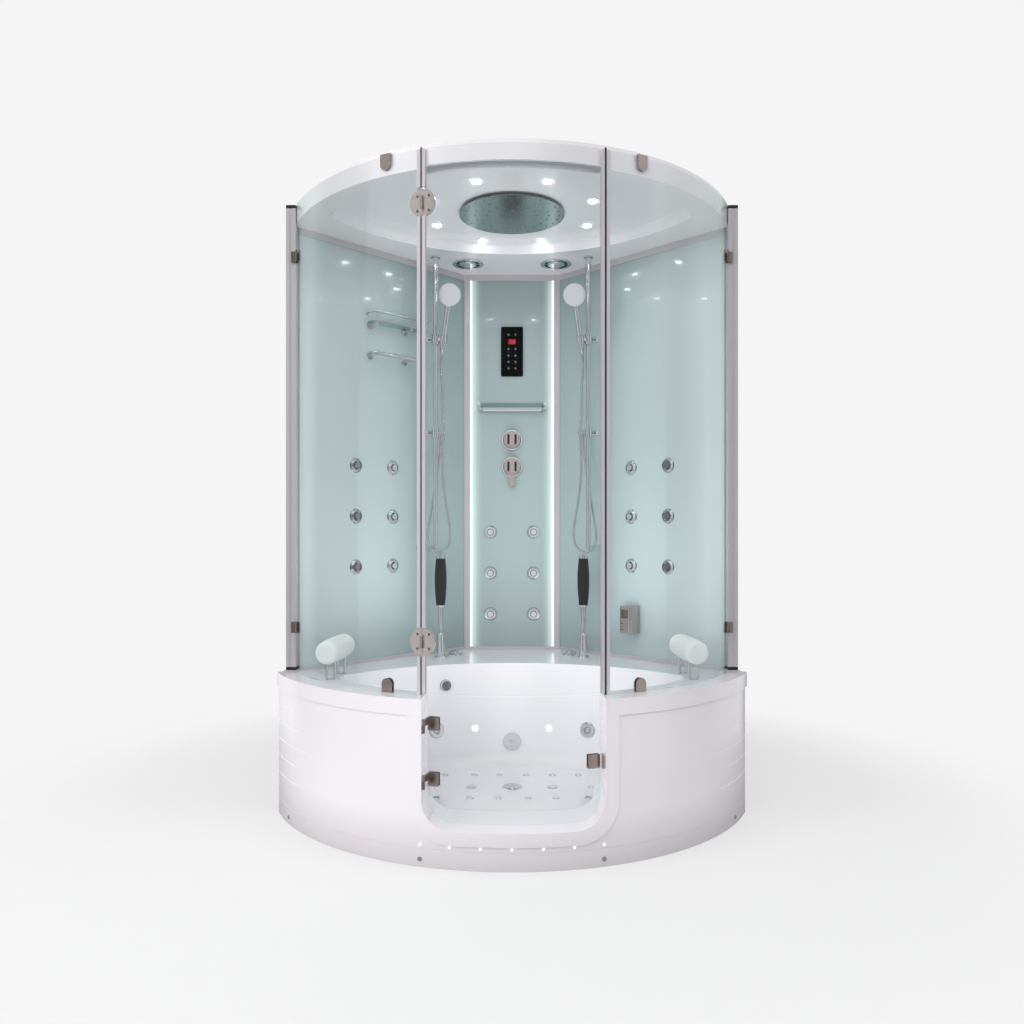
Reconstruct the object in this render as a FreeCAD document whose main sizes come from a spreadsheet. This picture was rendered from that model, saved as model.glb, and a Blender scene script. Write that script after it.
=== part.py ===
import FreeCAD, Part
import math
import os
import Sketcher

# Steam shower cabin: a corner tub with a curved glass front, two panelled walls,
# a roof with a rain shower, hand showers, massage jets and the gear behind them.
# Millimetres and degrees. X to the right, Y to the back, Z up, floor at Z 0.

os.makedirs("parts", exist_ok=True)
doc = FreeCAD.newDocument("steam_shower_cabin")
sheet = doc.addObject("Spreadsheet::Sheet", "Sizes")


class Size:
    """A number together with the sheet formula that gives it."""

    def __init__(self, value, text):
        self.value = float(value)
        self.text = text

    def __add__(self, other):
        other = num(other)
        return Size(self.value + other.value, "(%s + %s)" % (self.text, other.text))

    def __sub__(self, other):
        other = num(other)
        return Size(self.value - other.value, "(%s - %s)" % (self.text, other.text))

    def __mul__(self, other):
        other = num(other)
        return Size(self.value * other.value, "(%s * %s)" % (self.text, other.text))

    def __truediv__(self, other):
        other = num(other)
        return Size(self.value / other.value, "(%s / %s)" % (self.text, other.text))

    def __neg__(self):
        return Size(-self.value, "(0 - %s)" % self.text)

    def __radd__(self, other):
        return num(other) + self

    def __rsub__(self, other):
        return num(other) - self

    def __rmul__(self, other):
        return num(other) * self

    def __float__(self):
        return self.value


def num(value):
    """A Size from a plain number or a Size."""
    if isinstance(value, Size):
        return value
    if value < 0:
        return Size(value, "(0 - %.6f)" % -value)
    return Size(value, "%.6f" % value)


def root(value):
    value = num(value)
    return Size(math.sqrt(value.value), "sqrt(%s)" % value.text)


def sine(angle):
    angle = num(angle)
    return Size(math.sin(math.radians(angle.value)), "sin(%s)" % angle.text)


def cosine(angle):
    angle = num(angle)
    return Size(math.cos(math.radians(angle.value)), "cos(%s)" % angle.text)


def size(name, value):
    """Write a driving value into the sheet and give it back as a Size."""
    size.row += 1
    cell = "A%d" % size.row
    sheet.set(cell, repr(value))
    sheet.setAlias(cell, name)
    return Size(value, "Sizes." + name)


size.row = 0

# ---------------------------------------------------------------- driving sizes
centre_y = size("arc_centre_y", 200.5)
flat_gap = size("flat_clearance", 0.3)
snug = size("curved_clearance", 0.35)

# plan of the tub
lip_radius = size("lip_radius", 936.0)
half_wide = size("half_width", 857.0)
corner_sum = size("corner_sum", 585.0)
corner_half = size("corner_flat_half", 50.0)
deck_top = size("deck_top", 500.0)
skin = size("tub_skin", 8.0)
kerb_top = size("kerb_top", 511.0)
kerb_inner = size("kerb_inner_radius", 846.0)
lip_low = size("lip_low", 459.0)
lip_thick = size("lip_thickness", 10.0)
surround_low = size("surround_low", 74.0)
surround_wide = size("surround_width", 43.0)
surround_round = size("surround_corner", 125.0)
door_left = size("tunnel_left", -276.0)
door_right = size("tunnel_right", 286.0)
door_low = size("tunnel_floor", 117.0)
door_round = size("tunnel_corner", 88.0)
basin_front = size("basin_front_radius", 771.0)
basin_back = size("basin_back_radius", 790.0)
basin_back_y = size("basin_back_centre_y", -890.0)
basin_corner = size("basin_corner_radius", 85.0)
basin_floor = size("basin_floor", 110.0)
basin_draft = size("basin_draft", 26.0)
basin_fillet = size("basin_bottom_fillet", 45.0)
apron_radius = size("apron_radius", 930.0)
apron_thick = size("apron_thickness", 5.0)
apron_angle = size("apron_half_angle", 66.0)
groove_deep = size("groove_depth", 1.5)
skirt_line = size("skirt_line_height", 54.0)

# walls, posts and roof
wall_line = size("wall_line_distance", 347.9)
wall_turn = size("wall_turn", 45.0)
wall_thick = size("wall_thickness", 6.0)
wall_low = size("wall_low", 507.0)
wall_top = size("wall_top", 2139.0)
wall_near = size("wall_near_end", 49.5)
wall_far = size("wall_far_end", 774.6)
panel_y = size("centre_panel_y", 281.0)
panel_half = size("centre_panel_half", 185.0)
profile_wide = size("corner_profile_width", 25.8)
trim_lip = size("trim_lip", 4.0)
strip_wide = size("light_strip_width", 8.0)
roof_low = size("roof_low", 2156.0)
roof_top = size("roof_top", 2230.0)
roof_radius = size("roof_radius", 863.65)
roof_half = size("roof_half_width", 796.5)
roof_skin = size("roof_skin", 6.0)
recess_top = size("recess_top", 2190.0)
recess_front = size("recess_front_radius", 790.0)
recess_back = size("recess_back_radius", 721.0)
recess_back_y = size("recess_back_centre_y", -721.0)
post_x = size("post_x", 797.0)
post_wide = size("post_width", 36.0)
post_front = size("post_front_y", -345.0)
post_deep = size("post_depth", 46.0)
post_top = size("post_top", 2213.0)
cap_tall = size("post_cap_height", 12.0)

# glass
glass_inner = size("glass_inner_radius", 864.0)
glass_thick = size("glass_thickness", 6.0)
glass_top = size("glass_top", 2215.0)
joint_left = size("left_joint_angle", -19.0)
joint_right = size("right_joint_angle", 19.65)
edge_angle = size("glass_edge_angle", 0.33)
fixed_end = size("fixed_glass_end_angle", 66.2)
door_foot = size("upper_door_low", 518.0)
lower_left = size("lower_glass_left_angle", -17.75)
lower_right = size("lower_glass_right_angle", 18.45)
lower_foot = size("lower_glass_low", 121.0)
lower_head = size("lower_glass_top", 510.0)
lower_round = size("lower_glass_corner", 78.0)
hinge_round = size("hinge_disc_radius", 43.0)
hinge_plate = size("hinge_plate_thickness", 7.0)
hinge_upper = size("hinge_upper_height", 2051.0)
hinge_lower = size("hinge_lower_height", 676.0)
knuckle = size("knuckle_radius", 4.5)
pin_radius = size("hinge_pin_radius", 1.6)
plate_low = size("lower_hinge_low", 252.0)
plate_high = size("lower_hinge_high", 424.0)

# fittings
jet_radius = size("wall_jet_radius", 30.0)
jet_deep = size("wall_jet_depth", 14.0)
rail_x = size("rail_x", 315.0)
rail_y = size("rail_y", 27.0)
rail_radius = size("rail_radius", 10.0)
rail_foot = size("rail_foot", 954.0)
slider_high = size("slider_height", 1812.0)
slider_low = size("hose_guide_height", 1428.0)
sleeve_radius = size("sleeve_radius", 16.5)
sleeve_tall = size("sleeve_height", 42.0)
hose_radius = size("hose_radius", 5.0)
grip_radius = size("shower_grip_radius", 11.0)
head_radius = size("shower_head_radius", 44.0)
head_deep = size("shower_head_depth", 20.0)
deck_hand_x = size("deck_handset_x", 297.0)
deck_hand_y = size("deck_handset_y", 60.0)
deck_knob_x = size("deck_knob_x", 244.0)
deck_knob_y = size("deck_knob_y", 137.0)
deck_knob_radius = size("deck_knob_radius", 31.0)
mixer_high = size("mixer_upper_height", 1427.0)
mixer_low = size("mixer_lower_height", 1308.0)
mixer_radius = size("mixer_radius", 46.0)
rain_radius = size("rain_head_radius", 192.0)
rain_y = size("rain_head_y", -370.0)
grille_x = size("grille_x", 186.0)
grille_y = size("grille_y", 118.0)
grille_radius = size("grille_radius", 65.5)
pillow_radius = size("pillow_radius", 43.5)
drain_y = size("drain_y", -444.0)
drain_radius = size("drain_radius", 37.5)
suction_high = size("suction_height", 193.0)
overflow_x = size("overflow_x", -260.0)
overflow_high = size("overflow_height", 420.0)
lower_axis = size("lower_hinge_axis_radius", 912.0)
lower_turn = size("lower_hinge_angle", -17.25)
latch_high = size("latch_low", 285.5)
jet_outer = size("side_jet_outer", 521.8)
jet_inner = size("side_jet_inner", 340.8)
centre_jet_x = size("centre_jet_x", 95.0)
panel_high = size("control_panel_height", 1817.0)
panel_wide = size("control_panel_width", 97.0)
panel_tall = size("control_panel_tall", 218.0)
shelf_high = size("centre_shelf_height", 1569.0)
shelf_deep = size("centre_shelf_depth", 100.0)
shelf_half = size("centre_shelf_half", 140.0)
outlet_x = size("steam_outlet_x", 322.0)
union_x = size("hose_union_x", 302.0)
union_y = size("hose_union_y", 134.0)
union_high = size("hose_union_height", 1425.0)
socket_x = size("socket_x", 281.0)
socket_y = size("socket_y", 15.0)
grip_low = size("grip_low", -40.0)
grip_high = size("grip_high", 118.0)
head_along = size("head_along_grip", 183.0)
guide_x = size("guide_x", 280.1)
guide_y = size("guide_y", 8.0)


# ---------------------------------------------------------------- small helpers
def bind(obj, **amounts):
    for prop, amount in amounts.items():
        obj.setExpression(prop, num(amount).text)
    return obj


AXES = {
    "z": FreeCAD.Rotation(),
    "x": FreeCAD.Rotation(FreeCAD.Vector(0, 1, 0), 90),
    "back": FreeCAD.Rotation(FreeCAD.Vector(1, 0, 0), -90),
    "front": FreeCAD.Rotation(FreeCAD.Vector(1, 0, 0), 90),
    "left": FreeCAD.Rotation(FreeCAD.Vector(0, 1, 0), -90),
    "down": FreeCAD.Rotation(FreeCAD.Vector(1, 0, 0), 180),
}


def place(obj, x=0, y=0, z=0, turn=0, axis="z", own=None):
    """Put obj at x, y, z in a frame that is turned about the arc centre."""
    x, y, z, turn = num(x), num(y), num(z), num(turn)
    turned = FreeCAD.Rotation(FreeCAD.Vector(0, 0, 1), turn.value)
    inner = own if own else AXES[axis]
    obj.Placement = FreeCAD.Placement(FreeCAD.Vector(), turned.multiply(inner))
    if turn.value == 0:
        east = x
        north = centre_y + y
    else:
        east = x * cosine(turn) - y * sine(turn)
        north = centre_y + x * sine(turn) + y * cosine(turn)
    obj.setExpression("Placement.Base.x", east.text)
    obj.setExpression("Placement.Base.y", north.text)
    obj.setExpression("Placement.Base.z", z.text)
    return obj


def box(x, y, z, wide, deep, tall, turn=0):
    """A block from its low left front corner."""
    obj = bind(doc.addObject("Part::Box", "block"), Length=wide, Width=deep, Height=tall)
    return place(obj, x, y, z, turn)


def rod(x, y, z, radius, length, axis="z", turn=0, own=None):
    obj = bind(doc.addObject("Part::Cylinder", "rod"), Radius=radius, Height=length)
    return place(obj, x, y, z, turn, axis, own)


def cone(x, y, z, radius, far_radius, length, axis="z", turn=0, own=None):
    obj = bind(doc.addObject("Part::Cone", "taper"), Radius1=radius, Radius2=far_radius)
    bind(obj, Height=length)
    return place(obj, x, y, z, turn, axis, own)


def ball(x, y, z, radius, turn=0, low=-90, high=90, axis="z"):
    obj = bind(doc.addObject("Part::Sphere", "ball"), Radius=radius, Angle1=low, Angle2=high)
    return place(obj, x, y, z, turn, axis)


def prism(x, y, z, radius, length, axis="z", turn=0, sides=6):
    obj = bind(doc.addObject("Part::Prism", "prism"), Circumradius=radius, Height=length)
    obj.Polygon = sides
    return place(obj, x, y, z, turn, axis)


def fuse(*pieces):
    obj = doc.addObject("Part::MultiFuse", "joined")
    obj.Shapes = list(pieces)
    return obj


def cut(base, *tools):
    obj = doc.addObject("Part::Cut", "cut_out")
    obj.Base = base
    obj.Tool = tools[0] if len(tools) == 1 else fuse(*tools)
    return obj


def common(base, tool):
    obj = doc.addObject("Part::Common", "shared")
    obj.Base = base
    obj.Tool = tool
    return obj


def fillet(base, radius, chosen):
    """Round the edges of base for which chosen(edge) is true."""
    doc.recompute()
    amount = num(radius).value
    picked = [i + 1 for i, edge in enumerate(base.Shape.Edges) if chosen(edge)]
    if not picked:
        raise ValueError("no edge to round on " + base.Name)
    obj = doc.addObject("Part::Fillet", "rounded")
    obj.Base = base
    obj.Edges = [(index, amount, amount) for index in picked]
    doc.recompute()
    if obj.Shape.isNull() or not obj.Shape.isValid():
        raise ValueError("rounding failed on " + base.Name)
    return obj


def upright(edge):
    box_of = edge.BoundBox
    return box_of.ZLength > 1 and box_of.XLength < 0.01 and box_of.YLength < 0.01


def at_height(height):
    def chosen(edge):
        box_of = edge.BoundBox
        return abs(box_of.ZMin - height) < 0.01 and abs(box_of.ZMax - height) < 0.01
    return chosen


def sector(inner, outer, low, high, start, finish):
    """An upright curved strip about the arc centre, angles from the front."""
    inner, outer, low, high = num(inner), num(outer), num(low), num(high)
    start, finish = num(start), num(finish)
    strip = bind(doc.addObject("Part::Cylinder", "arc_block"), Radius=outer)
    bind(strip, Height=high - low, Angle=finish - start)
    turn = start - 90
    turned = FreeCAD.Rotation(FreeCAD.Vector(0, 0, 1), turn.value)
    strip.Placement = FreeCAD.Placement(FreeCAD.Vector(), turned)
    strip.setExpression("Placement.Base.y", centre_y.text)
    strip.setExpression("Placement.Base.z", low.text)
    hollow = rod(0, 0, low - 5, inner, high - low + 10)
    return cut(strip, hollow)


def tube(x, y, z, radius, bore, length, axis="z", turn=0):
    """A round sleeve whose bore runs right through."""
    return cut(rod(x, y, z, radius, length, axis, turn), rod(x, y, z, bore, length, axis, turn))


NODES = []
NAMES = []


def node(name, obj):
    obj.Label = name
    NODES.append(obj)
    NAMES.append(name)
    return obj


def group(name, pieces):
    obj = doc.addObject("Part::Compound", "set_of_pieces")
    obj.Links = list(pieces)
    return node(name, obj)


def shaped(name, shape):
    """A node or tool whose form is worked out in code."""
    obj = doc.addObject("Part::Feature", name)
    obj.Shape = shape
    return obj


def world(x, y, z, turn=0):
    """A point of the turned frame as a plain vector."""
    angle = math.radians(num(turn).value)
    x, y, z = num(x).value, num(y).value, num(z).value
    east = x * math.cos(angle) - y * math.sin(angle)
    north = centre_y.value + x * math.sin(angle) + y * math.cos(angle)
    return FreeCAD.Vector(east, north, z)


def plan_body(name, corners, front_radius, low, tall):
    """A pad whose outline has straight sides and one arc at the front.

    The first corner is the right end of the arc, the last its left end.
    """
    body = doc.addObject("PartDesign::Body", name)
    sketch = body.newObject("Sketcher::SketchObject", name + "_outline")
    planes = [f for f in body.Origin.OriginFeatures if f.Role == "XY_Plane"]
    sketch.AttachmentSupport = [(planes[0], "")]
    sketch.MapMode = "FlatFace"
    points = [FreeCAD.Vector(num(x).value, num(y).value, 0) for x, y in corners]
    for start, finish in zip(points, points[1:]):
        sketch.addGeometry(Part.LineSegment(start, finish))
    radius = num(front_radius)
    first = math.atan2(points[-1].y, points[-1].x)
    last = math.atan2(points[0].y, points[0].x)
    circle = Part.Circle(FreeCAD.Vector(), FreeCAD.Vector(0, 0, 1), radius.value)
    arc = sketch.addGeometry(Part.ArcOfCircle(circle, first, last))
    lines = len(points) - 1
    for index in range(lines - 1):
        sketch.addConstraint(Sketcher.Constraint("Coincident", index, 2, index + 1, 1))
    sketch.addConstraint(Sketcher.Constraint("Coincident", lines - 1, 2, arc, 1))
    sketch.addConstraint(Sketcher.Constraint("Coincident", arc, 2, 0, 1))
    for index, (x, y) in enumerate(corners):
        line = min(index, lines - 1)
        end = 1 if index < lines else 2
        for kind, amount in (("DistanceX", num(x)), ("DistanceY", num(y))):
            made = Sketcher.Constraint(kind, -1, 1, line, end, amount.value)
            number = sketch.addConstraint(made)
            sketch.setExpression("Constraints[%d]" % number, amount.text)
    number = sketch.addConstraint(Sketcher.Constraint("Radius", arc, radius.value))
    sketch.setExpression("Constraints[%d]" % number, radius.text)
    pad = body.newObject("PartDesign::Pad", name + "_pad")
    pad.Profile = sketch
    pad.setExpression("Length", num(tall).text)
    place(body, 0, 0, low)
    return body


def lens_wire(front, back, back_y, corner, height):
    """A lens of two arcs with rounded corners, as a closed wire."""
    front, back, corner = float(front), float(back), float(corner)
    near = FreeCAD.Vector(0, centre_y.value, height)
    far = FreeCAD.Vector(0, centre_y.value + float(back_y), height)
    gap = far.y - near.y
    reach_a = front - corner
    reach_b = back - corner
    along = (reach_a ** 2 - reach_b ** 2 + gap ** 2) / (2 * gap)
    across = math.sqrt(reach_a ** 2 - along ** 2)
    ends = []
    for side in (1, -1):
        middle = FreeCAD.Vector(side * across, near.y + along, height)
        from_a = (middle - near).normalize() * front + near
        from_b = (middle - far).normalize() * back + far
        out = ((from_a + from_b) * 0.5 - middle).normalize() * corner + middle
        ends.append((from_a, out, from_b))
    right, left = ends
    front_mid = FreeCAD.Vector(0, near.y - front, height)
    back_mid = FreeCAD.Vector(0, far.y + back, height)
    edges = [
        Part.Arc(left[0], front_mid, right[0]).toShape(),
        Part.Arc(right[0], right[1], right[2]).toShape(),
        Part.Arc(right[2], back_mid, left[2]).toShape(),
        Part.Arc(left[2], left[1], left[0]).toShape(),
    ]
    return Part.Wire(edges)


def lens_block(name, front, back, back_y, corner, low, high, draft, rounding, end):
    """A drafted lens block with one rounded end, for hollows and their shells."""
    wires = []
    for height, inset in ((float(low), 0.0 if end == "top" else float(draft)),
                          (float(high), float(draft) if end == "top" else 0.0)):
        wires.append(lens_wire(float(front) - inset, float(back) - inset, back_y, corner, height))
    block = Part.makeLoft(wires, True, True)
    edge_height = float(high) if end == "top" else float(low)
    picked = [edge for edge in block.Edges if at_height(edge_height)(edge)]
    block = block.makeFillet(float(rounding), picked)
    return shaped(name, block)


def check_cut(obj, name):
    doc.recompute()
    if obj.Shape.isNull() or not obj.Shape.isValid():
        raise ValueError(name + " is not a valid solid")
    print("made", name, len(obj.Shape.Solids), round(obj.Shape.Volume))


# ---------------------------------------------------------------- tub
def tub_plan():
    """Right end of the arc, round the back, to its left end."""
    arc_y = -root(lip_radius * lip_radius - half_wide * half_wide)
    return [
        (half_wide, arc_y),
        (half_wide, corner_sum - half_wide),
        (corner_half, corner_sum - corner_half),
        (-corner_half, corner_sum - corner_half),
        (-half_wide, corner_sum - half_wide),
        (-half_wide, arc_y),
    ]


def tunnel_block(side, low, corner, front, back, high):
    """The rounded doorway through the front, grown by side on each flank."""
    block = box(door_left - side, front, low, door_right - door_left + side * 2,
                back - front, high - low)

    def chosen(edge):
        box_of = edge.BoundBox
        return box_of.YLength > 1 and box_of.XLength < 0.01 and box_of.ZMax < float(low) + 0.01

    return fillet(block, corner, chosen)


def make_tub():
    deck = plan_body("deck_plate", tub_plan(), lip_radius, deck_top - skin, skin)
    edge_angle_full = 66.0
    kerb = sector(kerb_inner, lip_radius, deck_top - 0.5, kerb_top, -edge_angle_full, edge_angle_full)
    lip = sector(lip_radius - lip_thick, lip_radius, lip_low, deck_top - 1, -66.2, 66.2)
    arc_y = -root(lip_radius * lip_radius - half_wide * half_wide)
    flank = corner_sum - half_wide - arc_y
    right = box(half_wide - lip_thick, arc_y, lip_low, lip_thick, flank, deck_top - 1 - lip_low)
    left = box(-half_wide, arc_y, lip_low, lip_thick, flank, deck_top - 1 - lip_low)
    frame_block = tunnel_block(surround_wide, surround_low, surround_round, num(-960), num(-700),
                               lip_low + 5)
    band = common(sector(lip_radius - lip_thick, lip_radius, surround_low, lip_low + 5, -25, 25),
                  frame_block)
    lining = tunnel_block(skin, door_low - skin, door_round + skin, num(-960), num(-690), deck_top)
    lining = common(lining, rod(0, 0, 0, lip_radius - 1, 520))
    shell = lens_block("basin_shell", basin_front + skin, basin_back + skin, basin_back_y,
                       basin_corner + skin, basin_floor - skin, deck_top - 4, basin_draft,
                       basin_fillet + skin, "low")
    hollow = lens_block("basin_hollow", basin_front, basin_back, basin_back_y, basin_corner,
                        basin_floor, deck_top + 20, basin_draft, basin_fillet, "low")
    doorway = tunnel_block(0, door_low, door_round, num(-960), num(-700), kerb_top + 20)
    solid = fuse(deck, kerb, lip, right, left, band, lining, shell)
    waste = rod(0, drain_y, basin_floor - 20, drain_radius - 10, 40)
    hole = rod(overflow_x, -300, overflow_high, 14, 200, "back")
    stems = [rod(deck_knob_x * side, deck_knob_y, deck_top - 20, 5.6, 40) for side in (-1, 1)]
    return cut(solid, hollow, doorway, waste, hole, *stems)


tub = node("tub_basin", make_tub())
check_cut(tub, "tub_basin")


def make_apron():
    panel = sector(apron_radius - apron_thick, apron_radius, 0, lip_low - flat_gap,
                   -apron_angle, apron_angle)
    band = tunnel_block(surround_wide + 0.5, surround_low - 0.5, surround_round + 0.5,
                        num(-960), num(-700), lip_low + 20)
    tools = [band]
    tools.append(sector(apron_radius - groove_deep, apron_radius + 9, skirt_line, skirt_line + 3,
                        -apron_angle - 1, apron_angle + 1))
    for count in range(5):
        height = 400 - 62 * count
        reach = 14 + 2.5 * (count % 3)
        for side in (-1, 1):
            start = apron_angle - reach if side > 0 else -apron_angle - 1
            finish = apron_angle + 1 if side > 0 else reach - apron_angle
            tools.append(sector(apron_radius - groove_deep, apron_radius + 9, height,
                                height + 5, start, finish))
    return cut(panel, *tools)


node("front_apron", make_apron())

screws = []
for angle in (-57.0, -17.6, 17.6, 57.0):
    screws.append(rod(0, -(apron_radius + 2.1), 24, 7, 2, "back", angle))
group("apron_screws", screws)


def make_frame():
    """Square steel tubes under the tub, with uprights to the deck."""
    wide = 30
    low = basin_floor - skin - wide
    pieces = [
        box(-560, -700, low, 1120, wide, wide),
        box(-500, -40, low, 1000, wide, wide),
        box(-15, -10, low, wide, 450, wide),
        box(-90, 440, low, 180, wide, wide),
    ]
    for side in (-1, 1):
        pieces.append(box(side * 415 - 15, -670, low, wide, 630, wide))
        pieces.append(box(side * 415 - 15, -40, low + wide, wide, wide, deck_top - skin - wide - low))
    pieces.append(box(-15, 440, low + wide, wide, wide, deck_top - skin - wide - low))
    return fuse(*pieces)


node("tub_frame", make_frame())

feet = []
for x, y in ((-540, -685), (540, -685), (-415, -355), (415, -355), (-415, -25), (415, -25), (0, 455)):
    pad = cone(x, y, 0, 30, 22, 10)
    stem = rod(x, y, 9, 6, basin_floor - skin - 30 - 9)
    nut = prism(x, y, 40, 10, 9)
    feet.append(fuse(pad, stem, nut))
group("levelling_feet", feet)


# ---------------------------------------------------------------- walls and posts
def wall(side):
    """side 1 is the right wall, -1 the left one."""
    start = -wall_near if side > 0 else -wall_far
    return box(start, wall_line, wall_low, wall_far + wall_near, wall_thick,
               wall_top - wall_low, wall_turn * -side)


centre_panel = box(-panel_half, panel_y, wall_low, panel_half * 2, wall_thick, wall_top - wall_low)
seats = [rod(0, panel_y - 2, high, 8, 12, "back") for high in (mixer_high, mixer_low)]
group("wall_panels", [wall(-1), wall(1), cut(centre_panel, *seats)])


def channel(start, length, line, turn):
    """Bottom and top edging that holds one wall panel."""
    deep = wall_thick + trim_lip * 2
    made = []
    foot = box(start, line - trim_lip, deck_top, length, deep, wall_low - deck_top, turn)
    foot_lip = box(start, line - trim_lip, wall_low, length, trim_lip, 8, turn)
    made.append(fuse(foot, foot_lip))
    head = box(start, line - trim_lip, wall_top, length, deep, roof_low - wall_top, turn)
    head_lip = box(start, line - trim_lip, wall_top - 8, length, trim_lip, 8, turn)
    made.append(fuse(head, head_lip))
    return made


trims = []
trims += channel(-(wall_near - 5.5), wall_far + wall_near - 5.5, wall_line, -wall_turn)
trims += channel(-wall_far, wall_far + wall_near - 5.5, wall_line, wall_turn)
trims += channel(-panel_half, panel_half * 2, panel_y, 0)
for side in (-1, 1):
    start = panel_half if side > 0 else -panel_half - profile_wide
    trims.append(box(start, panel_y - trim_lip, deck_top, profile_wide, trim_lip + wall_thick,
                     roof_low - deck_top))
group("wall_trims", trims)

strips = []
for side in (-1, 1):
    start = panel_half - strip_wide if side > 0 else -panel_half
    strips.append(box(start, panel_y - trim_lip, wall_low + 8, strip_wide, trim_lip,
                      wall_top - wall_low - 16))
group("light_strips", strips)

posts = []
caps = []
for side in (-1, 1):
    start = post_x if side > 0 else -post_x - post_wide
    bar = box(start, post_front, kerb_top + cap_tall, post_wide, post_deep,
              post_top - kerb_top - cap_tall)
    groove = box(start + post_wide / 2 - 4, post_front - 1, kerb_top, 8, 3, post_top - kerb_top + 5)
    posts.append(cut(bar, groove))
    for low in (kerb_top, post_top):
        caps.append(box(start, post_front, low, post_wide, post_deep, cap_tall))
group("corner_posts", posts)
group("post_caps", caps)


# ---------------------------------------------------------------- roof
def roof_plan(inset):
    """Outline of the roof, drawn in by inset."""
    half = roof_half - inset
    radius = roof_radius - inset
    back_sum = num(534) - inset * 1.414
    back = num(324) - inset
    arc_y = -root(radius * radius - half * half)
    return [
        (half, arc_y),
        (half, back_sum - half),
        (back_sum - back, back),
        (back - back_sum, back),
        (-half, back_sum - half),
        (-half, arc_y),
    ]


def make_roof():
    outer = plan_body("roof_block", roof_plan(num(0)), roof_radius, roof_low, roof_top - roof_low)
    inner = plan_body("roof_hollow", roof_plan(num(10)), roof_radius - 10, roof_low + roof_skin,
                      roof_top - roof_low - roof_skin - 4)
    dome = lens_block("recess_shell", recess_front + roof_skin, recess_back + roof_skin,
                      recess_back_y, 66, roof_low, recess_top + roof_skin, 20, 22, "top")
    recess = lens_block("recess_hollow", recess_front, recess_back, recess_back_y, 60,
                        roof_low - 5, recess_top, 20, 16, "top")
    tray = cut(outer, inner)
    bay = sector(roof_radius - 40, roof_radius + 10, roof_low - 5, roof_low + 10,
                 joint_left, joint_right)
    holes = []
    for side in (-1, 1):
        holes.append(rod(grille_x * side, grille_y, roof_low - 5, 54, 20))
    vent = rod(-grille_x, grille_y, roof_top - 20, 40, 40)
    return cut(fuse(tray, dome), recess, vent, bay, *holes)


node("roof_canopy", make_roof())
check_cut(NODES[-1], "roof_canopy")


def make_rain_head():
    plate = cone(0, rain_y, recess_top - 14, rain_radius, rain_radius - 6, 8)
    neck = rod(0, rain_y, recess_top - 7, 40, 7)
    return fuse(plate, neck)


nozzles = [make_rain_head()]
for ring, amount in ((45, 8), (90, 14), (135, 20), (172, 26)):
    for count in range(amount):
        angle = math.radians(360 / amount * count)
        x = ring * math.cos(angle)
        y = rain_y + ring * math.sin(angle)
        nozzles.append(prism(x, y, recess_top - 16.5, 3.2, 2.5, "z", 0, 5))
group("rain_shower_head", nozzles)

rings = []
for side in (-1, 1):
    ring = cut(rod(grille_x * side, grille_y, roof_low - 5, grille_radius, 5),
               rod(grille_x * side, grille_y, roof_low - 6, grille_radius - 15, 8))
    disc = cone(grille_x * side, grille_y, roof_low - 9, 32, 38, 6)
    spokes = [box(grille_x * side - 52, grille_y - 2, roof_low - 4, 104, 4, 3),
              box(grille_x * side - 2, grille_y - 52, roof_low - 4, 4, 104, 3)]
    rings.append(fuse(ring, disc, *spokes))
group("ceiling_grilles", rings)


# ---------------------------------------------------------------- glass front
def glass(low, high, start, finish):
    return sector(glass_inner, glass_inner + glass_thick, low, high, start, finish)


group("fixed_glass", [
    glass(kerb_top, glass_top, -fixed_end, joint_left - edge_angle),
    glass(kerb_top, glass_top, joint_right + edge_angle, fixed_end),
])
node("upper_door_glass", glass(door_foot, glass_top, joint_left + edge_angle,
                               joint_right - edge_angle))


def hinge_holes(turn):
    """Room for the round hinges in the seals of the left joint."""
    return [rod(0, -900, high, hinge_round + 3, 80, "back", turn)
            for high in (hinge_upper, hinge_lower)]


def edge_seal(edge, inward, low, high, holes):
    """A channel on a glass edge; inward is +1 where the glass lies at larger angles."""
    outer = glass_inner + glass_thick + 1.8
    wrap = 0.62
    lap = 0.10
    start = edge - lap if inward > 0 else edge - wrap
    finish = edge + wrap if inward > 0 else edge + lap
    body = sector(glass_inner - 1.8, outer, low, high, start, finish)
    slot_start = edge - 0.02 if inward > 0 else start - 0.1
    slot_end = finish + 0.1 if inward > 0 else edge + 0.02
    slot = sector(glass_inner - snug, glass_inner + glass_thick + snug, low - 1, high + 1,
                  slot_start, slot_end)
    under_roof = sector(glass_inner - 9, glass_inner - snug + 0.1, roof_low - 1, roof_top, -25, 25)
    return cut(body, slot, under_roof, *holes)


left_fixed_edge = joint_left - edge_angle
left_door_edge = joint_left + edge_angle
right_door_edge = joint_right - edge_angle
right_fixed_edge = joint_right + edge_angle
group("fixed_glass_seals", [
    edge_seal(left_fixed_edge, -1, kerb_top, glass_top, hinge_holes(joint_left)),
    edge_seal(right_fixed_edge, 1, kerb_top, glass_top, []),
])
group("door_seals", [
    edge_seal(left_door_edge, 1, door_foot, glass_top, hinge_holes(joint_left)),
    edge_seal(right_door_edge, -1, door_foot, glass_top, []),
])
group("gasket_strips", [
    cut(sector(glass_inner, glass_inner + glass_thick, kerb_top, glass_top + 7,
               left_fixed_edge + 0.10, left_fixed_edge + 0.38), *hinge_holes(joint_left)),
    sector(glass_inner, glass_inner + glass_thick, kerb_top, glass_top + 7,
           right_fixed_edge - 0.38, right_fixed_edge - 0.10),
])

hinge_axis = glass_inner + glass_thick + 2


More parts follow.
